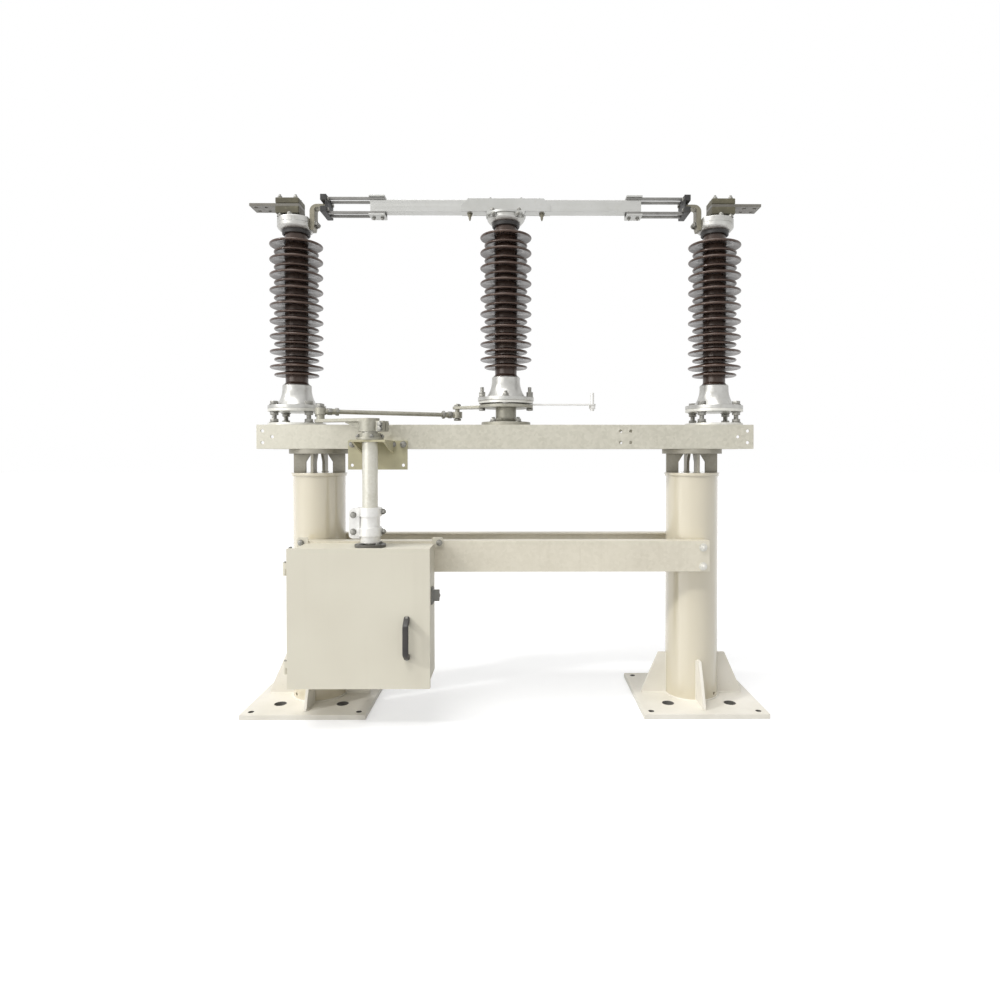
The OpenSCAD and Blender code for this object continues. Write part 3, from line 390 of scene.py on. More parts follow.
# The construction's own solids: the finish of each, and the width of its eased edges in millimetres
dressed = {
    "base_plates": ("footCream", 2.0), "base_gussets": ("footCream", 1.2), "columns": ("columnCream", 0.4),
    "column_caps": ("columnCream", 1.5), "head_ribs": ("shadedRibZinc", 1.2), "head_flanges": ("shadedRibZinc", 1.5),
    "beam_channels": ("beamZinc", 1.5), "cross_channels": ("crossZinc", 1.5), "seat_plates": ("plateZinc", 1.2),
    "levelling_plates": ("plateZinc", 1.2), "outer_post_bases": ("castAlloy", 1.5),
    "outer_post_caps": ("castAlloy", 1.2), "centre_post_base": ("castAlloy", 1.5),
    "centre_post_cap": ("castAlloy", 1.2), "terminal_heads": ("headAlloy", 3.0),
    "terminal_bars": ("terminalAlloy", 1.0), "terminal_clamps": ("headAlloy", 4.0),
    "contact_tongues": ("tongueAlloy", 1.5), "bearing_pedestal": ("linkZinc", 0.4), "turntable": ("linkZinc", 1.0),
    "rotor_flange": ("plateZinc", 1.2), "coupling_arm": ("armZinc", 0.5), "blade_bracket": ("sleeveAlloy", 0.4),
    "blade_tube": ("bladeAlloy", 1.5), "blade_sleeve": ("sleeveAlloy", 1.2),
    "contact_fingers": ("fingerSteel", 1.2), "finger_clamps": ("sleeveAlloy", 1.5),
    "contact_jaws": ("jawBlack", 1.8), "drive_bracket": ("bracketOlive", 0.5), "drive_bearing": ("linkZinc", 1.2),
    "drive_pipe": ("pipeZinc", 0.8), "crank": ("linkZinc", 0.2), "tie_rod": ("linkZinc", 1.0),
    "shaft_coupling": ("armZinc", 1.5), "output_shaft": ("pipeZinc", 1.0), "box_shell": ("boxCream", 0.12),
    "roof_ring": ("ringPaint", 1.5), "gearbox": ("machineGrey", 4.0), "box_door": ("boxCream", 0.35),
    "door_handle": ("gripBlack", 4.5), "side_latch": ("latchGrey", 2.0),
}
for node, (finish, width) in dressed.items():
    dress(node, finishes[finish], width)
print("solids dressed:", len(dressed))

# Glazed posts: a pair of sheds is turned once, repeated up the core and merged
shedShape = dict(core=47, foot=52, large=110, small=92, rim=5, pairs=9, start=39, end=64, segments=112, bow=0.2,
                 under=0.11, rise=0.45)


def startPoint(point):
    clearSelection()
    bpy.ops.mesh.primitive_plane_add(size=0.01, location=(0, 0, 0))
    bpy.ops.object.mode_set(mode="EDIT")
    bpy.ops.mesh.merge(type="CENTER")
    bpy.ops.transform.translate(value=(point[0] * mm, 0, point[1] * mm))


def drawProfile(points):
    startPoint(points[0])
    for before, after in zip(points, points[1:]):
        step = ((after[0] - before[0]) * mm, 0, (after[1] - before[1]) * mm)
        bpy.ops.mesh.extrude_vertices_move(TRANSFORM_OT_translate={"value": step})


def turnProfile(points, segments=48, angle=35):
    drawProfile(points)
    bpy.ops.mesh.select_all(action="SELECT")
    bpy.ops.mesh.spin(steps=segments, angle=2 * pi, center=(0, 0, 0), axis=(0, 0, 1))
    bpy.ops.mesh.select_all(action="SELECT")
    bpy.ops.mesh.remove_doubles(threshold=0.00001)
    bpy.ops.mesh.normals_make_consistent(inside=False)
    bpy.ops.object.mode_set(mode="OBJECT")
    thing = bpy.context.object
    takeUp(thing)
    bpy.ops.object.shade_smooth_by_angle(angle=radians(angle))
    return thing


def shedPoints(radius, z, rise):
    reach = radius - shedShape["core"]
    share = reach / (shedShape["large"] - shedShape["core"])
    rim = shedShape["rim"]
    tip = radius - rim
    foot = shedShape["core"]
    points = [(foot, z + shedShape["under"] * reach + 3), (foot + 2, z + shedShape["under"] * reach + 0.5),
              (tip - 12, z + 2.5), (tip - 4, z + 0.8)]
    points += [(tip + rim * cos(radians(a)), z + rim + rim * sin(radians(a))) for a in range(-75, 91, 33)]
    for u in (0.2, 0.4, 0.6, 0.75, 0.86, 0.94, 1):
        height = rim * 2 + rise * share * ((1 - shedShape["bow"]) * u + shedShape["bow"] * u * u)
        points.append((tip - (tip - foot) * u + (1.5 if u == 0.94 else 0), z + height))
    return points


def glazedPost(name, axisX, node):
    z0, z1 = low(node).z, high(node).z
    tall = z1 - z0
    step = (tall - shedShape["start"] - shedShape["end"]) / (2 * shedShape["pairs"] - 1)
    rise = shedShape["rise"] * step
    pair = shedPoints(shedShape["small"], 0, rise) + shedPoints(shedShape["large"], step, rise)
    pair.append((shedShape["core"], 2 * step + shedShape["under"] * 40 + 3))
    shed = turnProfile(pair, shedShape["segments"], 50)
    tower = shed.modifiers.new("tower", "ARRAY")
    tower.count = shedShape["pairs"]
    tower.use_relative_offset = False
    tower.use_constant_offset = True
    tower.constant_offset_displace = (0, 0, 2 * step * mm)
    applyModifier(shed, tower)
    shed.location = (axisX * mm, 0, (z0 + shedShape["start"]) * mm)
    settle(shed)
    core = shedShape["core"]
    foot = shedShape["foot"] - 0.4
    barrel = turnProfile([(0, 0), (foot - 1.5, 0), (foot, 1.5), (foot, 5), (foot - 1.5, 7.5), (core - 0.2, 12),
                          (core - 0.4, 16), (core - 0.4, tall - 16), (core - 0.2, tall - 12), (foot - 1.5, tall - 7.5),
                          (foot, tall - 5), (foot, tall - 1.5), (foot - 1.5, tall), (0, tall)], shedShape["segments"])
    barrel.location = (axisX * mm, 0, z0 * mm)
    settle(barrel)
    return joinUp(name, [shed, barrel])


centrePost = glazedPost("centrePorcelain", 0, "centre_porcelain")
putOn(centrePost, "rotor", "glaze_brown", finishes["glazeBrown"], "centre_porcelain")
outerPosts = [glazedPost("outerPost", side * places["postX"], "outer_porcelains") for side in sides]
putOn(joinUp("outerPorcelains", outerPosts), "frame", "glaze_brown", finishes["glazeBrown"], "outer_porcelains")
print("posts glazed")

# Bolts, nuts, washers and studs: each kind is modelled once at the origin, along Z
ways = {"+z": Matrix(), "-z": Matrix.Rotation(pi, 4, "X"),
        "+x": Matrix.Rotation(pi / 2, 4, "Y"), "-x": Matrix.Rotation(-pi / 2, 4, "Y"),
        "+y": Matrix.Rotation(-pi / 2, 4, "X"), "-y": Matrix.Rotation(pi / 2, 4, "X")}


def hexBlock(across, height, base=0):
    clearSelection()
    bpy.ops.mesh.primitive_cylinder_add(vertices=6, radius=across / 1.732 * mm, depth=height * mm,
                                        location=(0, 0, (base + height / 2) * mm))
    block = bpy.context.object
    bpy.ops.object.mode_set(mode="EDIT")
    bpy.ops.mesh.select_all(action="DESELECT")
    bpy.ops.object.mode_set(mode="OBJECT")
    for face in block.data.polygons:
        face.select = abs(face.normal.z) > 0.9
    bpy.ops.object.mode_set(mode="EDIT")
    bpy.ops.mesh.bevel(offset=across * 0.07 * mm, segments=2, affect="EDGES")
    bpy.ops.object.mode_set(mode="OBJECT")
    return soften(settle(block), 0, angle=28)


def washer(outer, thick, base=0):
    clearSelection()
    bpy.ops.mesh.primitive_cylinder_add(vertices=28, radius=outer / 2 * mm, depth=thick * mm,
                                        location=(0, 0, (base + thick / 2) * mm))
    disc = bpy.context.object
    settle(disc)
    return soften(disc, thick * 0.22, 2, 40)


# A threaded end: rings are drawn out one after the other
def threaded(width, length, base=0, pitch=2.5):
    clearSelection()
    bpy.ops.mesh.primitive_circle_add(vertices=14, radius=width / 2 * 0.93 * mm, fill_type="NGON",
                                      location=(0, 0, base * mm))
    bpy.ops.object.mode_set(mode="EDIT")
    bpy.ops.mesh.select_all(action="SELECT")
    turns = max(2, int(length / pitch))
    for _ in range(turns):
        for grow, share in ((1 / 0.93, 0.35), (1.0, 0.15), (0.93, 0.35), (1.0, 0.15)):
            bpy.ops.mesh.extrude_region_move(TRANSFORM_OT_translate={"value": (0, 0, length / turns * share * mm)})
            if grow != 1.0:
                bpy.ops.transform.resize(value=(grow, grow, 1))
    bpy.ops.mesh.extrude_region_move(TRANSFORM_OT_translate={"value": (0, 0, width * 0.06 * mm)})
    bpy.ops.transform.resize(value=(0.88, 0.88, 1))
    bpy.ops.mesh.select_all(action="SELECT")
    bpy.ops.mesh.normals_make_consistent(inside=False)
    bpy.ops.object.mode_set(mode="OBJECT")
    return soften(settle(bpy.context.object), 0, angle=50)


# A bolt head on its washer: width, head height, washer thickness and the threaded tail past the head
def hexBolt(width, head, collar, tail=0):
    parts = [washer(width * 2.1, collar), hexBlock(width * 1.6, head, collar)]
    if tail:
        parts.append(threaded(width, tail, collar + head - 1, max(1.6, width * 0.13)))
    return joinUp("hexBolt", parts)


# Copies of one fastener at its places, each turned a little differently, as one piece
def scatter(template, name, spots, body, finish, slot="stud_steel"):
    copies = []
    for index, spot in enumerate(spots):
        mesh = template.data.copy()
        turn = Matrix.Rotation(radians(17 * index + 8), 4, "Z")
        facing = ways[spot[3]] if isinstance(spot[3], str) else spot[3]
        mesh.transform(Matrix.Translation(Vector(spot[:3]) * mm) @ facing @ turn)
        copy = bpy.data.objects.new(name, mesh)
        scene.collection.objects.link(copy)
        copies.append(copy)
    bpy.data.objects.remove(template)
    return putOn(joinUp(name, copies), body, slot, finish)


# Places on the right half and the same ones on the left
def both(spots):
    flip = {"+x": "-x", "-x": "+x"}
    return spots + [(-s[0], s[1], s[2], flip.get(s[3], s[3])) for s in spots]


# Levelling studs: a threaded rod with three nuts and their washers on each
stud = dict(width=20, across=31, nut=13, washer=40, collar=3, overDeck=1.3, spread=72.125)
seatTop, levelUnder = high("seat_plates").z, low("levelling_plates").z
rodLength = high("levelling_studs").z - places["deck"] - stud["overDeck"]
parts = [threaded(stud["width"], rodLength, places["deck"])]
for base in (seatTop + stud["collar"], levelUnder - stud["nut"] - stud["collar"]):
    parts.append(hexBlock(stud["across"], stud["nut"], base))
for base in (seatTop, levelUnder - stud["collar"], places["flange"]):
    parts.append(washer(stud["washer"], stud["collar"], base))
parts.append(hexBlock(stud["across"], stud["nut"], places["flange"] + stud["collar"]))
spots = [(side * places["postX"] + x * stud["spread"], y * stud["spread"], 0, "+z")
         for side in sides for x in sides for y in sides]
piece = scatter(joinUp("levellingStud", parts), "levellingStuds", spots, "frame", finishes["studZinc"])
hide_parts("levelling_studs")

# Long rotor bolts on both sides and short ones at the front and rear of the foot
rotor = dict(width=16, across=25.6, head=10.2, washer=34, collar=3, nut=13, lockNut=9, pitch=2.2, circle=102,
             shortBolt=(16, 11, 3, 9), shortHead=(16, 10, 3), underFlange=5.9)
longLow, longHigh = low("turntable_bolts").z, high("turntable_bolts").z
footTop = high("centre_post_base").z - footCone
parts = [threaded(rotor["width"], longHigh - longLow - 1, longLow, rotor["pitch"]),
         hexBlock(rotor["across"], rotor["head"], longLow + 0.4),
         washer(rotor["washer"], rotor["collar"], footTop),
         hexBlock(rotor["across"], rotor["nut"], footTop + rotor["collar"]),
         hexBlock(rotor["across"], rotor["lockNut"], footTop + rotor["collar"] + rotor["nut"])]
piece = scatter(joinUp("longBolt", parts), "turntableBolts", [(x * rotor["circle"], 0, 0, "+z") for x in sides],
                "rotor", finishes["studZinc"])
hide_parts("turntable_bolts")
scatter(hexBolt(*rotor["shortBolt"]), "rotorShortBolts", [(0, y * rotor["circle"], footTop, "+z") for y in sides],
        "rotor", finishes["studZinc"])
headTop = low("rotor_flange").z + rotor["underFlange"]
scatter(hexBolt(*rotor["shortHead"]), "rotorShortHeads", [(0, y * rotor["circle"], headTop, "-z") for y in sides],
        "rotor", finishes["studZinc"])

# Pedestal hold-down bolts on the deck
pedestal = dict(bolt=(14, 9.5, 2.6, 7), x=52, y=76, plate=15)
pedestalTop = places["deck"] + pedestal["plate"]
scatter(hexBolt(*pedestal["bolt"]), "pedestalBolts",
        [(x * pedestal["x"], y * pedestal["y"], pedestalTop, "+z") for x in sides for y in sides],
        "frame", finishes["studZinc"])

# Bolts that hold the cross beam to the columns, front and rear
crossBolt = dict(bolt=(16, 10, 3, 8), aside=5, heights=(592, 669))
crossFace = abs(low("cross_channels").y)
scatter(hexBolt(*crossBolt["bolt"]), "crossBeamBolts",
        [(side * (places["columnX"] + crossBolt["aside"]), face * crossFace, z, "-y" if face < 0 else "+y")
         for side in sides for face in sides for z in crossBolt["heights"]], "frame", finishes["fittingZinc"])

# Bolts of the terminal clamps
clamp = dict(bolt=(10, 6.5, 2.2, 7), x=(-8, 58), y=(-32, 32))
scatter(hexBolt(*clamp["bolt"]), "terminalClampBolts",
        both([(places["postX"] + x, y, high("terminal_clamps").z, "+z") for x in clamp["x"] for y in clamp["y"]]),
        "frame", finishes["studZinc"])

# Bolts in the ring under each fixed head, and those that hold the bent tongue to it
headRing = dict(bolt=(12, 8, 2.2, 5), porcelain=655, cap=29, ring=23, spots=((8, -62), (8, 62), (56, -40), (56, 40)))
ringTop = high("outer_post_bases").z + headRing["porcelain"] + headRing["cap"] + headRing["ring"]
scatter(hexBolt(*headRing["bolt"]), "headRingBolts",
        both([(places["postX"] + x, y, ringTop, "+z") for x, y in headRing["spots"]]), "frame", finishes["studZinc"])
tongue = dict(bolt=(12, 8, 2.2, 4), inward=85, drop=20, y=(-14, 14))
scatter(hexBolt(*tongue["bolt"]), "tongueArmBolts",
        both([(places["postX"] - tongue["inward"], y, ringTop - tongue["drop"], "-x") for y in tongue["y"]]),
        "frame", finishes["studZinc"])

# Bolts through the finger clamps at the blade's ends, over and under
finger = dict(bolt=(8, 5.5, 1.6, 4), fromEnd=30, x=(-18, 18))
fingerX = high("blade_tube").x - finger["fromEnd"]
for name, z, way in (("fingerClampBoltsTop", high("finger_clamps").z, "+z"),
                     ("fingerClampBoltsUnder", low("finger_clamps").z, "-z")):
    scatter(hexBolt(*finger["bolt"]), name, both([(fingerX + x, 0, z, way) for x in finger["x"]]),
            "rotor", finishes["studZinc"])

# Bolts on the inner face of the jaws, and those on the sleeve
jaw = dict(bolt=(8, 5, 1.5), face=752, y=(-40, 40), inset=16)
jawHeights = (high("contact_jaws").z - jaw["inset"], low("contact_jaws").z + jaw["inset"])
scatter(hexBolt(*jaw["bolt"]), "jawBolts", both([(jaw["face"], y, z, "-x") for y in jaw["y"] for z in jawHeights]),
        "rotor", finishes["studZinc"])
sleeve = dict(bolt=(10, 6.5, 2, 5), x=(-66, 66))
scatter(hexBolt(*sleeve["bolt"]), "sleeveBolts", [(x, 0, high("blade_sleeve").z, "+z") for x in sleeve["x"]],
        "rotor", finishes["studZinc"])
print("main bolts placed")


# Turned rings at the posts: a bitumen seal under each cap and a cement joint over each foot
def turnedRings(name, profile, axes, z, body, finish, slot):
    made = []
    for axisX in axes:
        ring = turnProfile(profile, 64)
        ring.location = (axisX * mm, 0, z * mm)
        made.append(settle(ring))
    return putOn(joinUp(name, made), body, slot, finish)


rings = dict(seal=[(50, 0), (56, 0), (58, 2), (58, 12), (60, 15.5), (50, 15.5)], sealDrop=15,
             joint=[(50, 0), (58.5, 0), (57, 2.5), (53.5, 4.5), (50, 4.5)])
outerAxes = (-places["postX"], places["postX"])
turnedRings("outerCapSeals", rings["seal"], outerAxes, low("outer_post_caps").z - rings["sealDrop"], "frame",
            finishes["gripBlack"], "handle_black")
turnedRings("centreCapSeal", rings["seal"], (0,), low("centre_post_cap").z - rings["sealDrop"], "rotor",
            finishes["gripBlack"], "handle_black")
turnedRings("outerFootJoints", rings["joint"], outerAxes, high("outer_post_bases").z, "frame", finishes["castAlloy"],
            "fitting_iron")
turnedRings("centreFootJoint", rings["joint"], (0,), high("centre_post_base").z, "rotor", finishes["castAlloy"],
            "fitting_iron")


# A small plate: a block is shaped, its chosen corners are rounded and its edges eased
def slab(lo, hi, corner, along=1, ease=0.8, keep=None):
    clearSelection()
    lo, hi = Vector(lo) * mm, Vector(hi) * mm
    bpy.ops.mesh.primitive_cube_add(size=1, location=(lo + hi) / 2)
    block = bpy.context.object
    block.scale = hi - lo
    settle(block)
    bpy.ops.object.mode_set(mode="EDIT")
    bpy.ops.mesh.select_all(action="DESELECT")
    bpy.ops.mesh.select_mode(type="EDGE")
    bpy.ops.object.mode_set(mode="OBJECT")
    for edge in block.data.edges:
        a, b = (block.data.vertices[i].co for i in edge.vertices)
        flat = abs((b - a)[along]) > 0.99 * (b - a).length
        edge.select = flat and (keep is None or keep((a + b) / 2 / mm))
    bpy.ops.object.mode_set(mode="EDIT")
    bpy.ops.mesh.bevel(offset=corner * mm, segments=5, affect="EDGES")
    bpy.ops.mesh.select_mode(type="VERT")
    bpy.ops.object.mode_set(mode="OBJECT")
    return soften(block, ease, 2, 35)


shaftX, shaftY = places["shaft"]
# Clamp flanges on the split sleeve, each side of the slit, with their bolts along Y and the set screws
coupling = dict(out=79, root=36, thick=20, low=17, high=134, slit=2.4, corner=16, bolt=(12, 8, 2.4),
                nut=(12, 10, 2.4, 6), boltX=61, heights=(44, 109), screw=(12, 9, 2.4, 5), screwX=45.4,
                screwHeights=(43, 120))
baseZ = low("shaft_coupling").z
halves = []
for side in sides:
    y0, y1 = sorted((side * coupling["slit"], side * (coupling["slit"] + coupling["thick"])))
    halves.append(slab((shaftX - coupling["out"], shaftY + y0, baseZ + coupling["low"]),
                       (shaftX - coupling["root"], shaftY + y1, baseZ + coupling["high"]), coupling["corner"], 1, 1.5,
                       lambda p: p.x < shaftX - 60))
putOn(joinUp("couplingFlanges", halves), "drive_shaft", "arm_galvanised", finishes["armZinc"])
flangeY = coupling["slit"] + coupling["thick"]
scatter(hexBolt(*coupling["bolt"]), "couplingBolts",
        [(shaftX - coupling["boltX"], shaftY - flangeY, baseZ + z, "-y") for z in coupling["heights"]],
        "drive_shaft", finishes["studZinc"])
scatter(hexBolt(*coupling["nut"]), "couplingNuts",
        [(shaftX - coupling["boltX"], shaftY + flangeY, baseZ + z, "+y") for z in coupling["heights"]],
        "drive_shaft", finishes["studZinc"])
scatter(hexBolt(*coupling["screw"]), "couplingSetScrews",
        [(shaftX + coupling["screwX"], shaftY, baseZ + z, "+x") for z in coupling["screwHeights"]],
        "drive_shaft", finishes["studZinc"])

# Crank: clamp bolts across the lobe, a nut and washer on its pin, and the nuts of the lever's pin
crank = dict(pin=(-740, -192, 1220), turn=339.6, lobe=58, half=22, heights=(1147, 1165), bolt=(11, 7.5, 2),
             nut=(11, 7.5, 2, 6), pinNut=(18, 12.4, 3), overPin=14.4)
lever = dict(pin=(-215, 80, 1220), headAcross=31, head=8.6, under=24.8, nutAcross=29, nut=9.5, over=37.6)
crankPin, leverPin = Vector(crank["pin"]), Vector(lever["pin"])
armTurn = Matrix.Rotation(radians(crank["turn"]), 4, "Z")
lobe = armTurn @ Vector((crank["lobe"], 0, 0))
across = armTurn @ Vector((0, 1, 0))
for side, name, kind in ((-1, "crankClampBolts", "bolt"), (1, "crankClampNuts", "nut")):
    facing = (side * across).to_track_quat("Z", "X").to_matrix().to_4x4()
    x, y = (Vector((shaftX, shaftY, 0)) + lobe + side * crank["half"] * across).xy
    scatter(hexBolt(*crank[kind]), name, [(x, y, z, facing) for z in crank["heights"]], "drive_shaft",
            finishes["studZinc"])
scatter(hexBolt(*crank["pinNut"]), "crankPinNut", [(*crankPin.xy, crankPin.z + crank["overPin"], "+z")], "drive_shaft",
        finishes["studZinc"])
parts = [hexBlock(lever["headAcross"], lever["head"], leverPin.z - lever["under"]),
         hexBlock(lever["nutAcross"], lever["nut"], leverPin.z + lever["over"])]
scatter(joinUp("leverPinNut", parts), "leverPinNuts", [(*leverPin.xy, 0, "+z")], "rotor", finishes["studZinc"])

# Tie rod: a lock nut and a flat-sided sleeve at each eye
rodNut = dict(fromPin=60, lock=(31, 12, 0), sleeve=(27, 20, -34))
rodWay = (leverPin - crankPin).normalized()
spots = [(*(pin + way * rodNut["fromPin"]), way.to_track_quat("Z", "X").to_matrix().to_4x4())
         for pin, way in ((crankPin, rodWay), (leverPin, -rodWay))]
scatter(joinUp("lockNut", [hexBlock(*rodNut["lock"]), hexBlock(*rodNut["sleeve"])]), "tieRodNuts", spots, "tie_rod",
        finishes["studZinc"])


def roundShaft(circle, turns, z):
    return [(shaftX + circle * cos(radians(a)), shaftY + circle * sin(radians(a)), z, "+z") for a in turns]


# Drive bracket to beam, bearing to shelf, roof ring to roof
bracket = dict(bolt=(13, 8.5, 2.4, 4), x=(-105, -62, 62, 105), plate=6, z=1089)
scatter(hexBolt(*bracket["bolt"]), "bracketBolts",
        [(shaftX + x, places["beamFront"] - bracket["plate"], bracket["z"], "-y") for x in bracket["x"]],
        "frame", finishes["studZinc"])
bearing = dict(bolt=(9, 6, 1.6, 5), circle=46.5, turns=(20, 110, 200, 290), flange=10)
scatter(hexBolt(*bearing["bolt"]), "bearingBolts",
        roundShaft(bearing["circle"], bearing["turns"], low("drive_bearing").z + bearing["flange"]),
        "frame", finishes["studZinc"])
roofRing = dict(bolt=(8, 5, 1.6), circle=48, turns=(45, 135, 225, 315))
scatter(hexBolt(*roofRing["bolt"]), "roofRingBolts",
        roundShaft(roofRing["circle"], roofRing["turns"], high("roof_ring").z), "frame", finishes["studZinc"])

# Blade: saddle bolts beside the tube, long bolts whose tapered tails hang under the sleeve's ends
saddle = dict(bolt=(10, 6.5, 2, 4), x=(-56, 56), y=(-37, 37))
scatter(hexBolt(*saddle["bolt"]), "saddleBolts",
        [(x, y, high("blade_bracket").z, "+z") for x in saddle["x"] for y in saddle["y"]],
        "rotor", finishes["studZinc"])
tail = dict(washer=(24, 2.5, -2.5), nut=(19, 9, -11.5), cone=[(0, -31), (2.2, -31), (5.4, -22), (6, -11), (0, -11)],
            x=(-154, 154), head=(11, 6.5, 2), headX=(-140, 140), strap=5.2)
parts = [washer(*tail["washer"]), hexBlock(*tail["nut"]), turnProfile(tail["cone"], 16)]
scatter(joinUp("tailBolt", parts), "sleeveTailBolts", [(x, 0, places["bladeUnder"], "+z") for x in tail["x"]],
        "rotor", finishes["tongueAlloy"])
scatter(hexBolt(*tail["head"]), "sleeveTailHeads",
        [(x, 0, places["bladeTop"] + tail["strap"], "+z") for x in tail["headX"]],
        "rotor", finishes["sleeveAlloy"], "sleeve_alloy")

# Legs under the saddle's rim, each with its bolt
leg = dict(x=(-62, 40), y=(-72, 60), width=22, thick=12, drop=17, lap=2, corner=5, bolt=(9, 6, 1.6, 3),
           boltX=(-51, 51), boltDrop=7)
saddleLow = low("blade_bracket").z
legs = [slab((x, y, saddleLow - leg["drop"]), (x + leg["width"], y + leg["thick"], saddleLow + leg["lap"]),
             leg["corner"], 1, 1.2, lambda p: p.z < saddleLow - 10) for x in leg["x"] for y in leg["y"]]
putOn(joinUp("bracketLegs", legs), "rotor", "sleeve_alloy", finishes["sleeveAlloy"])
scatter(hexBolt(*leg["bolt"]), "bracketLegBolts",
        [(x, y, saddleLow - leg["boltDrop"], way) for x in leg["boltX"] for y, way in ((-72, "-y"), (72, "+y"))],
        "rotor", finishes["studZinc"])

# Box: rear mounting ears with bolts, hinge pin heads and the roof's corner lug
ear = dict(x=(-298, -844), width=46, rear=-165, front=-170.4, low=670, high=712, corner=9, bolt=(12, 8, 2.4),
           boltX=(-268, -828), boltZ=690)
ears = [slab((x, ear["front"], ear["low"]), (x + ear["width"], ear["rear"], ear["high"]), ear["corner"], 1, 0.8)
        for x in ear["x"]]
putOn(joinUp("boxEars", ears), "frame", "box_paint", finishes["boxCream"])
scatter(hexBolt(*ear["bolt"]), "boxEarBolts", [(x, ear["front"], ear["boltZ"], "-y") for x in ear["boltX"]],
        "frame", finishes["studZinc"])
hinge = dict(x=-825, y=-366.8, z=(246, 617), tall=24.4, head=[(0, 5.5), (2.5, 5.1), (4.8, 3.2), (5.6, 0), (0, 0)])
scatter(turnProfile(hinge["head"], 24), "hingePinHeads",
        [(hinge["x"], hinge["y"], z + hinge["tall"], "+z") for z in hinge["z"]], "frame", finishes["studZinc"])
lug = dict(lo=(-816, -356, 686.6), hi=(-806, -340, 699), corner=4)
cornerLug = slab(lug["lo"], lug["hi"], lug["corner"], 1, 1)
putOn(cornerLug, "frame", "latch_grey", finishes["latchGrey"])
cornerLug.name = "roofCornerLug"

# Latch: a turned key cap and four screws; the handle has two screws
latch = dict(cap=[(0, 3.5), (4, 3.5), (6.5, 2.4), (7, 0), (0, 0)], screw=(5, 2.4, 0.8), plate=6, y=(-11.5, 11.5),
             z=(-27, 27))
latchPlace = middle("side_latch")
scatter(turnProfile(latch["cap"], 24), "latchKeyCap", [(high("side_latch").x, latchPlace.y, latchPlace.z, "+x")],
        "frame", finishes["studZinc"], "latch_grey")
scatter(hexBolt(*latch["screw"]), "latchScrews",
        [(high("box_shell").x + latch["plate"], latchPlace.y + y, latchPlace.z + z, "+x")
         for y in latch["y"] for z in latch["z"]], "frame", finishes["studZinc"], "latch_grey")
handle = dict(screw=(6, 3, 1), foot=6, z=(-77, 77))
handlePlace = middle("door_handle")
scatter(hexBolt(*handle["screw"]), "handleScrews",
        [(handlePlace.x, places["doorFace"] - handle["foot"], handlePlace.z + z, "-y") for z in handle["z"]],
        "door", finishes["studZinc"], "handle_black")
print("linkage, blade and box details placed")


# A rippled weld bead, drawn once and laid along each joint
def bead(radius, length, pitch=3.4):
    clearSelection()
    bpy.ops.mesh.primitive_circle_add(vertices=8, radius=radius * 0.86 * mm, fill_type="NGON")
    bpy.ops.object.mode_set(mode="EDIT")
    bpy.ops.mesh.select_all(action="SELECT")
    count = max(2, int(length / pitch))
    for index in range(count):
        bpy.ops.mesh.extrude_region_move(TRANSFORM_OT_translate={"value": (0, 0, length / count * mm)})
        grow = 1.163 if index % 2 == 0 else 0.86
        bpy.ops.transform.resize(value=(grow, grow, 1))
    bpy.ops.mesh.select_all(action="SELECT")
    bpy.ops.mesh.normals_make_consistent(inside=False)
    bpy.ops.object.mode_set(mode="OBJECT")
    return soften(settle(bpy.context.object), 0, angle=60)


# Both edges of every radial plate on the two columns, each with its way outwards
def radialEdges(aside):
    for side in sides:
        for turn in (0, 90, 180, 270):
            outWay = Vector((cos(radians(turn)), sin(radians(turn)), 0))
            sideWay = Vector((-outWay.y, outWay.x, 0))
            for edge in sides:
                yield Vector((side * places["columnX"], 0, 0)) + sideWay * edge * aside, outWay


def layBeads(name, radius, length, starts, finish, slot):
    spots = [(*start, way.to_track_quat("Z", "X").to_matrix().to_4x4()) for start, way in starts]
    scatter(bead(radius, length), name, spots, "frame", finish, slot)


up = Vector((0, 0, 1))
columnR = 109.5
gussetWeld = dict(aside=7.5, out=2, foot=(3.2, 100), footZ=21, side=(3.0, 168), sideZ=22, sideIn=0.5)
edges = [(start + way * (columnR + gussetWeld["out"]), way) for start, way in radialEdges(gussetWeld["aside"])]
layBeads("gussetFootWelds", *gussetWeld["foot"], [(start + up * gussetWeld["footZ"], way) for start, way in edges],
         finishes["footCream"], "foot_paint")
layBeads("gussetSideWelds", *gussetWeld["side"],
         [(start + up * gussetWeld["sideZ"] - way * gussetWeld["sideIn"], up) for start, way in edges],
         finishes["footCream"], "foot_paint")


def ringWeld(name, radius, thick, z, finish, slot):
    beads = []
    for side in sides:
        clearSelection()
        bpy.ops.mesh.primitive_torus_add(major_radius=radius * mm, minor_radius=thick * mm, major_segments=120,
                                         minor_segments=8, location=(side * places["columnX"] * mm, 0, z * mm))
        beads.append(soften(settle(bpy.context.object), 0, angle=60))
    return putOn(joinUp(name, beads), "frame", slot, finish)


ringWelds = dict(foot=(columnR + 1, 3.6, 21.5), head=(columnR + 0.5, 2.6, 956.5))
ringWeld("columnFootWelds", *ringWelds["foot"], finishes["footCream"], "foot_paint")
ringWeld("columnHeadWelds", *ringWelds["head"], finishes["columnCream"], "column_paint")
ribWeld = dict(aside=7, inward=50, heights=(971, 1049), bead=(2.4, 47))
layBeads("headRibWelds", *ribWeld["bead"],
         [(start + way * (columnR - ribWeld["inward"]) + up * z, way)
          for start, way in radialEdges(ribWeld["aside"]) for z in ribWeld["heights"]],
         finishes["shadedRibZinc"], "rib_galvanised")
print("welds laid")


# Some faces of a piece take another finish
def paintFaces(piece, finish, test):
    piece.data.materials.append(finish)
    index = len(piece.data.materials) - 1
    for face in piece.data.polygons:
        if test(face.center / mm, face.normal):
            face.material_index = index
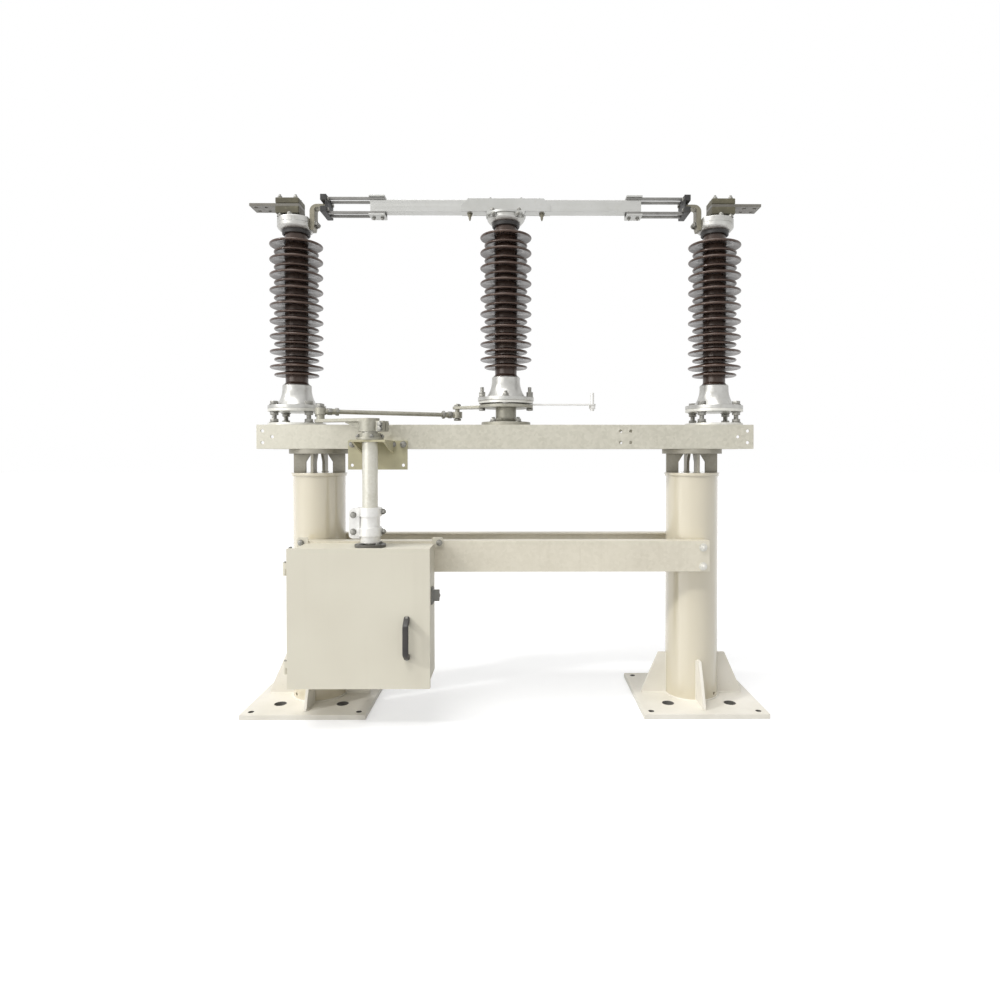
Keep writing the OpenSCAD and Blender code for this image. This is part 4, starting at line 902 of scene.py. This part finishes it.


# The walls of the anchor holes take the dark ring paint: painted shade inside the holes
holeReach = 235
paintFaces(bpy.data.objects["basePlates"], finishes["ringPaint"], lambda c, n: abs(n.z) < 0.5
           and abs(abs(c.x) - places["columnX"]) < holeReach and abs(c.y) < holeReach)
# The ring at the foot of each head is bare casting
ringEnd = low("terminal_heads").z + 23.2
paintFaces(bpy.data.objects["terminalHeads"], finishes["castAlloy"], lambda c, n: c.z < ringEnd)

# Camera, floor and light
view = dict(place=(0.03906, -2.88265, 1.0555), tilt=-0.791, turn=-0.336, lens=24.12, shift=(-0.01894, -0.03833))
cameraData = bpy.data.cameras.new("studioCamera")
cameraData.lens = view["lens"]
cameraData.sensor_width = 36
cameraData.shift_x, cameraData.shift_y = view["shift"]
camera = bpy.data.objects.new("studioCamera", cameraData)
camera.location = view["place"]
camera.rotation_euler = (radians(90 + view["tilt"]), 0, radians(view["turn"]))
scene.collection.objects.link(camera)
scene.camera = camera

light = dict(world=0.46, top=1.75, topSoftness=34, topTurn=(24, 0, -30), key=1.2, keySoftness=4,
             keyFrom=(-92, -42, 64), panel=160, panelSize=(7.0, 2.0), panelPlace=(-6.3, -6.3, 2.3),
             panelTarget=(0, 0, 1.1), floorColour=0.58, floorLift=0.44)


# How far a ray counts as seen by the camera, directly or in a reflection
def rayShare(tree):
    path = tree.nodes.new("ShaderNodeLightPath")
    total = path.outputs["Is Camera Ray"]
    for kind in ("Is Glossy Ray", "Is Transmission Ray"):
        add = tree.nodes.new("ShaderNodeMath")
        add.operation = "MAXIMUM"
        tree.links.new(total, add.inputs[0])
        tree.links.new(path.outputs[kind], add.inputs[1])
        total = add.outputs[0]
    return total


world = bpy.data.worlds.new("studio")
scene.world = world
world.use_nodes = True
tree = world.node_tree
tree.nodes.clear()
soft = tree.nodes.new("ShaderNodeBackground")
soft.inputs["Strength"].default_value = light["world"]
white = tree.nodes.new("ShaderNodeBackground")
white.inputs["Strength"].default_value = 1.0
for background in (soft, white):
    background.inputs["Color"].default_value = (1, 1, 1, 1)
sky = tree.nodes.new("ShaderNodeMixShader")
tree.links.new(rayShare(tree), sky.inputs["Fac"])
tree.links.new(soft.outputs[0], sky.inputs[1])
tree.links.new(white.outputs[0], sky.inputs[2])
tree.links.new(sky.outputs[0], tree.nodes.new("ShaderNodeOutputWorld").inputs["Surface"])

top = bpy.data.lights.new("topLight", "SUN")
top.energy = light["top"]
top.angle = radians(light["topSoftness"])
topHolder = bpy.data.objects.new("topLight", top)
topHolder.rotation_euler = [radians(a) for a in light["topTurn"]]
scene.collection.objects.link(topHolder)
key = bpy.data.lights.new("keyLight", "SUN")
key.energy = light["key"]
key.angle = radians(light["keySoftness"])
keyHolder = bpy.data.objects.new("keyLight", key)
keyHolder.rotation_euler = (-Vector(light["keyFrom"])).to_track_quat("-Z", "Y").to_euler()
scene.collection.objects.link(keyHolder)
panel = bpy.data.lights.new("softPanel", "AREA")
panel.shape = "RECTANGLE"
panel.size, panel.size_y = light["panelSize"]
panel.energy = light["panel"]
panelHolder = bpy.data.objects.new("softPanel", panel)
panelHolder.location = light["panelPlace"]
toTarget = Vector(light["panelTarget"]) - Vector(light["panelPlace"])
panelHolder.rotation_euler = toTarget.to_track_quat("-Z", "Y").to_euler()
scene.collection.objects.link(panelHolder)

clearSelection()
bpy.ops.mesh.primitive_plane_add(size=60, location=(0, 0, 0))
floor = bpy.context.object
floor.name = "studioFloor"
floorPaint = bpy.data.materials.new("floorWhite")
floorPaint.use_nodes = True
tree = floorPaint.node_tree
tree.nodes.clear()
matt = tree.nodes.new("ShaderNodeBsdfPrincipled")
matt.inputs["Base Color"].default_value = (light["floorColour"],) * 3 + (1,)
matt.inputs["Roughness"].default_value = 0.35
lift = tree.nodes.new("ShaderNodeEmission")
scaled = tree.nodes.new("ShaderNodeMath")
scaled.operation = "MULTIPLY"
scaled.inputs[1].default_value = light["floorLift"]
tree.links.new(rayShare(tree), scaled.inputs[0])
tree.links.new(scaled.outputs[0], lift.inputs["Strength"])
total = tree.nodes.new("ShaderNodeAddShader")
tree.links.new(matt.outputs[0], total.inputs[0])
tree.links.new(lift.outputs[0], total.inputs[1])
tree.links.new(total.outputs[0], tree.nodes.new("ShaderNodeOutputMaterial").inputs["Surface"])
floor.data.materials.append(floorPaint)
scene.view_settings.view_transform = "Standard"
print("studio ready")
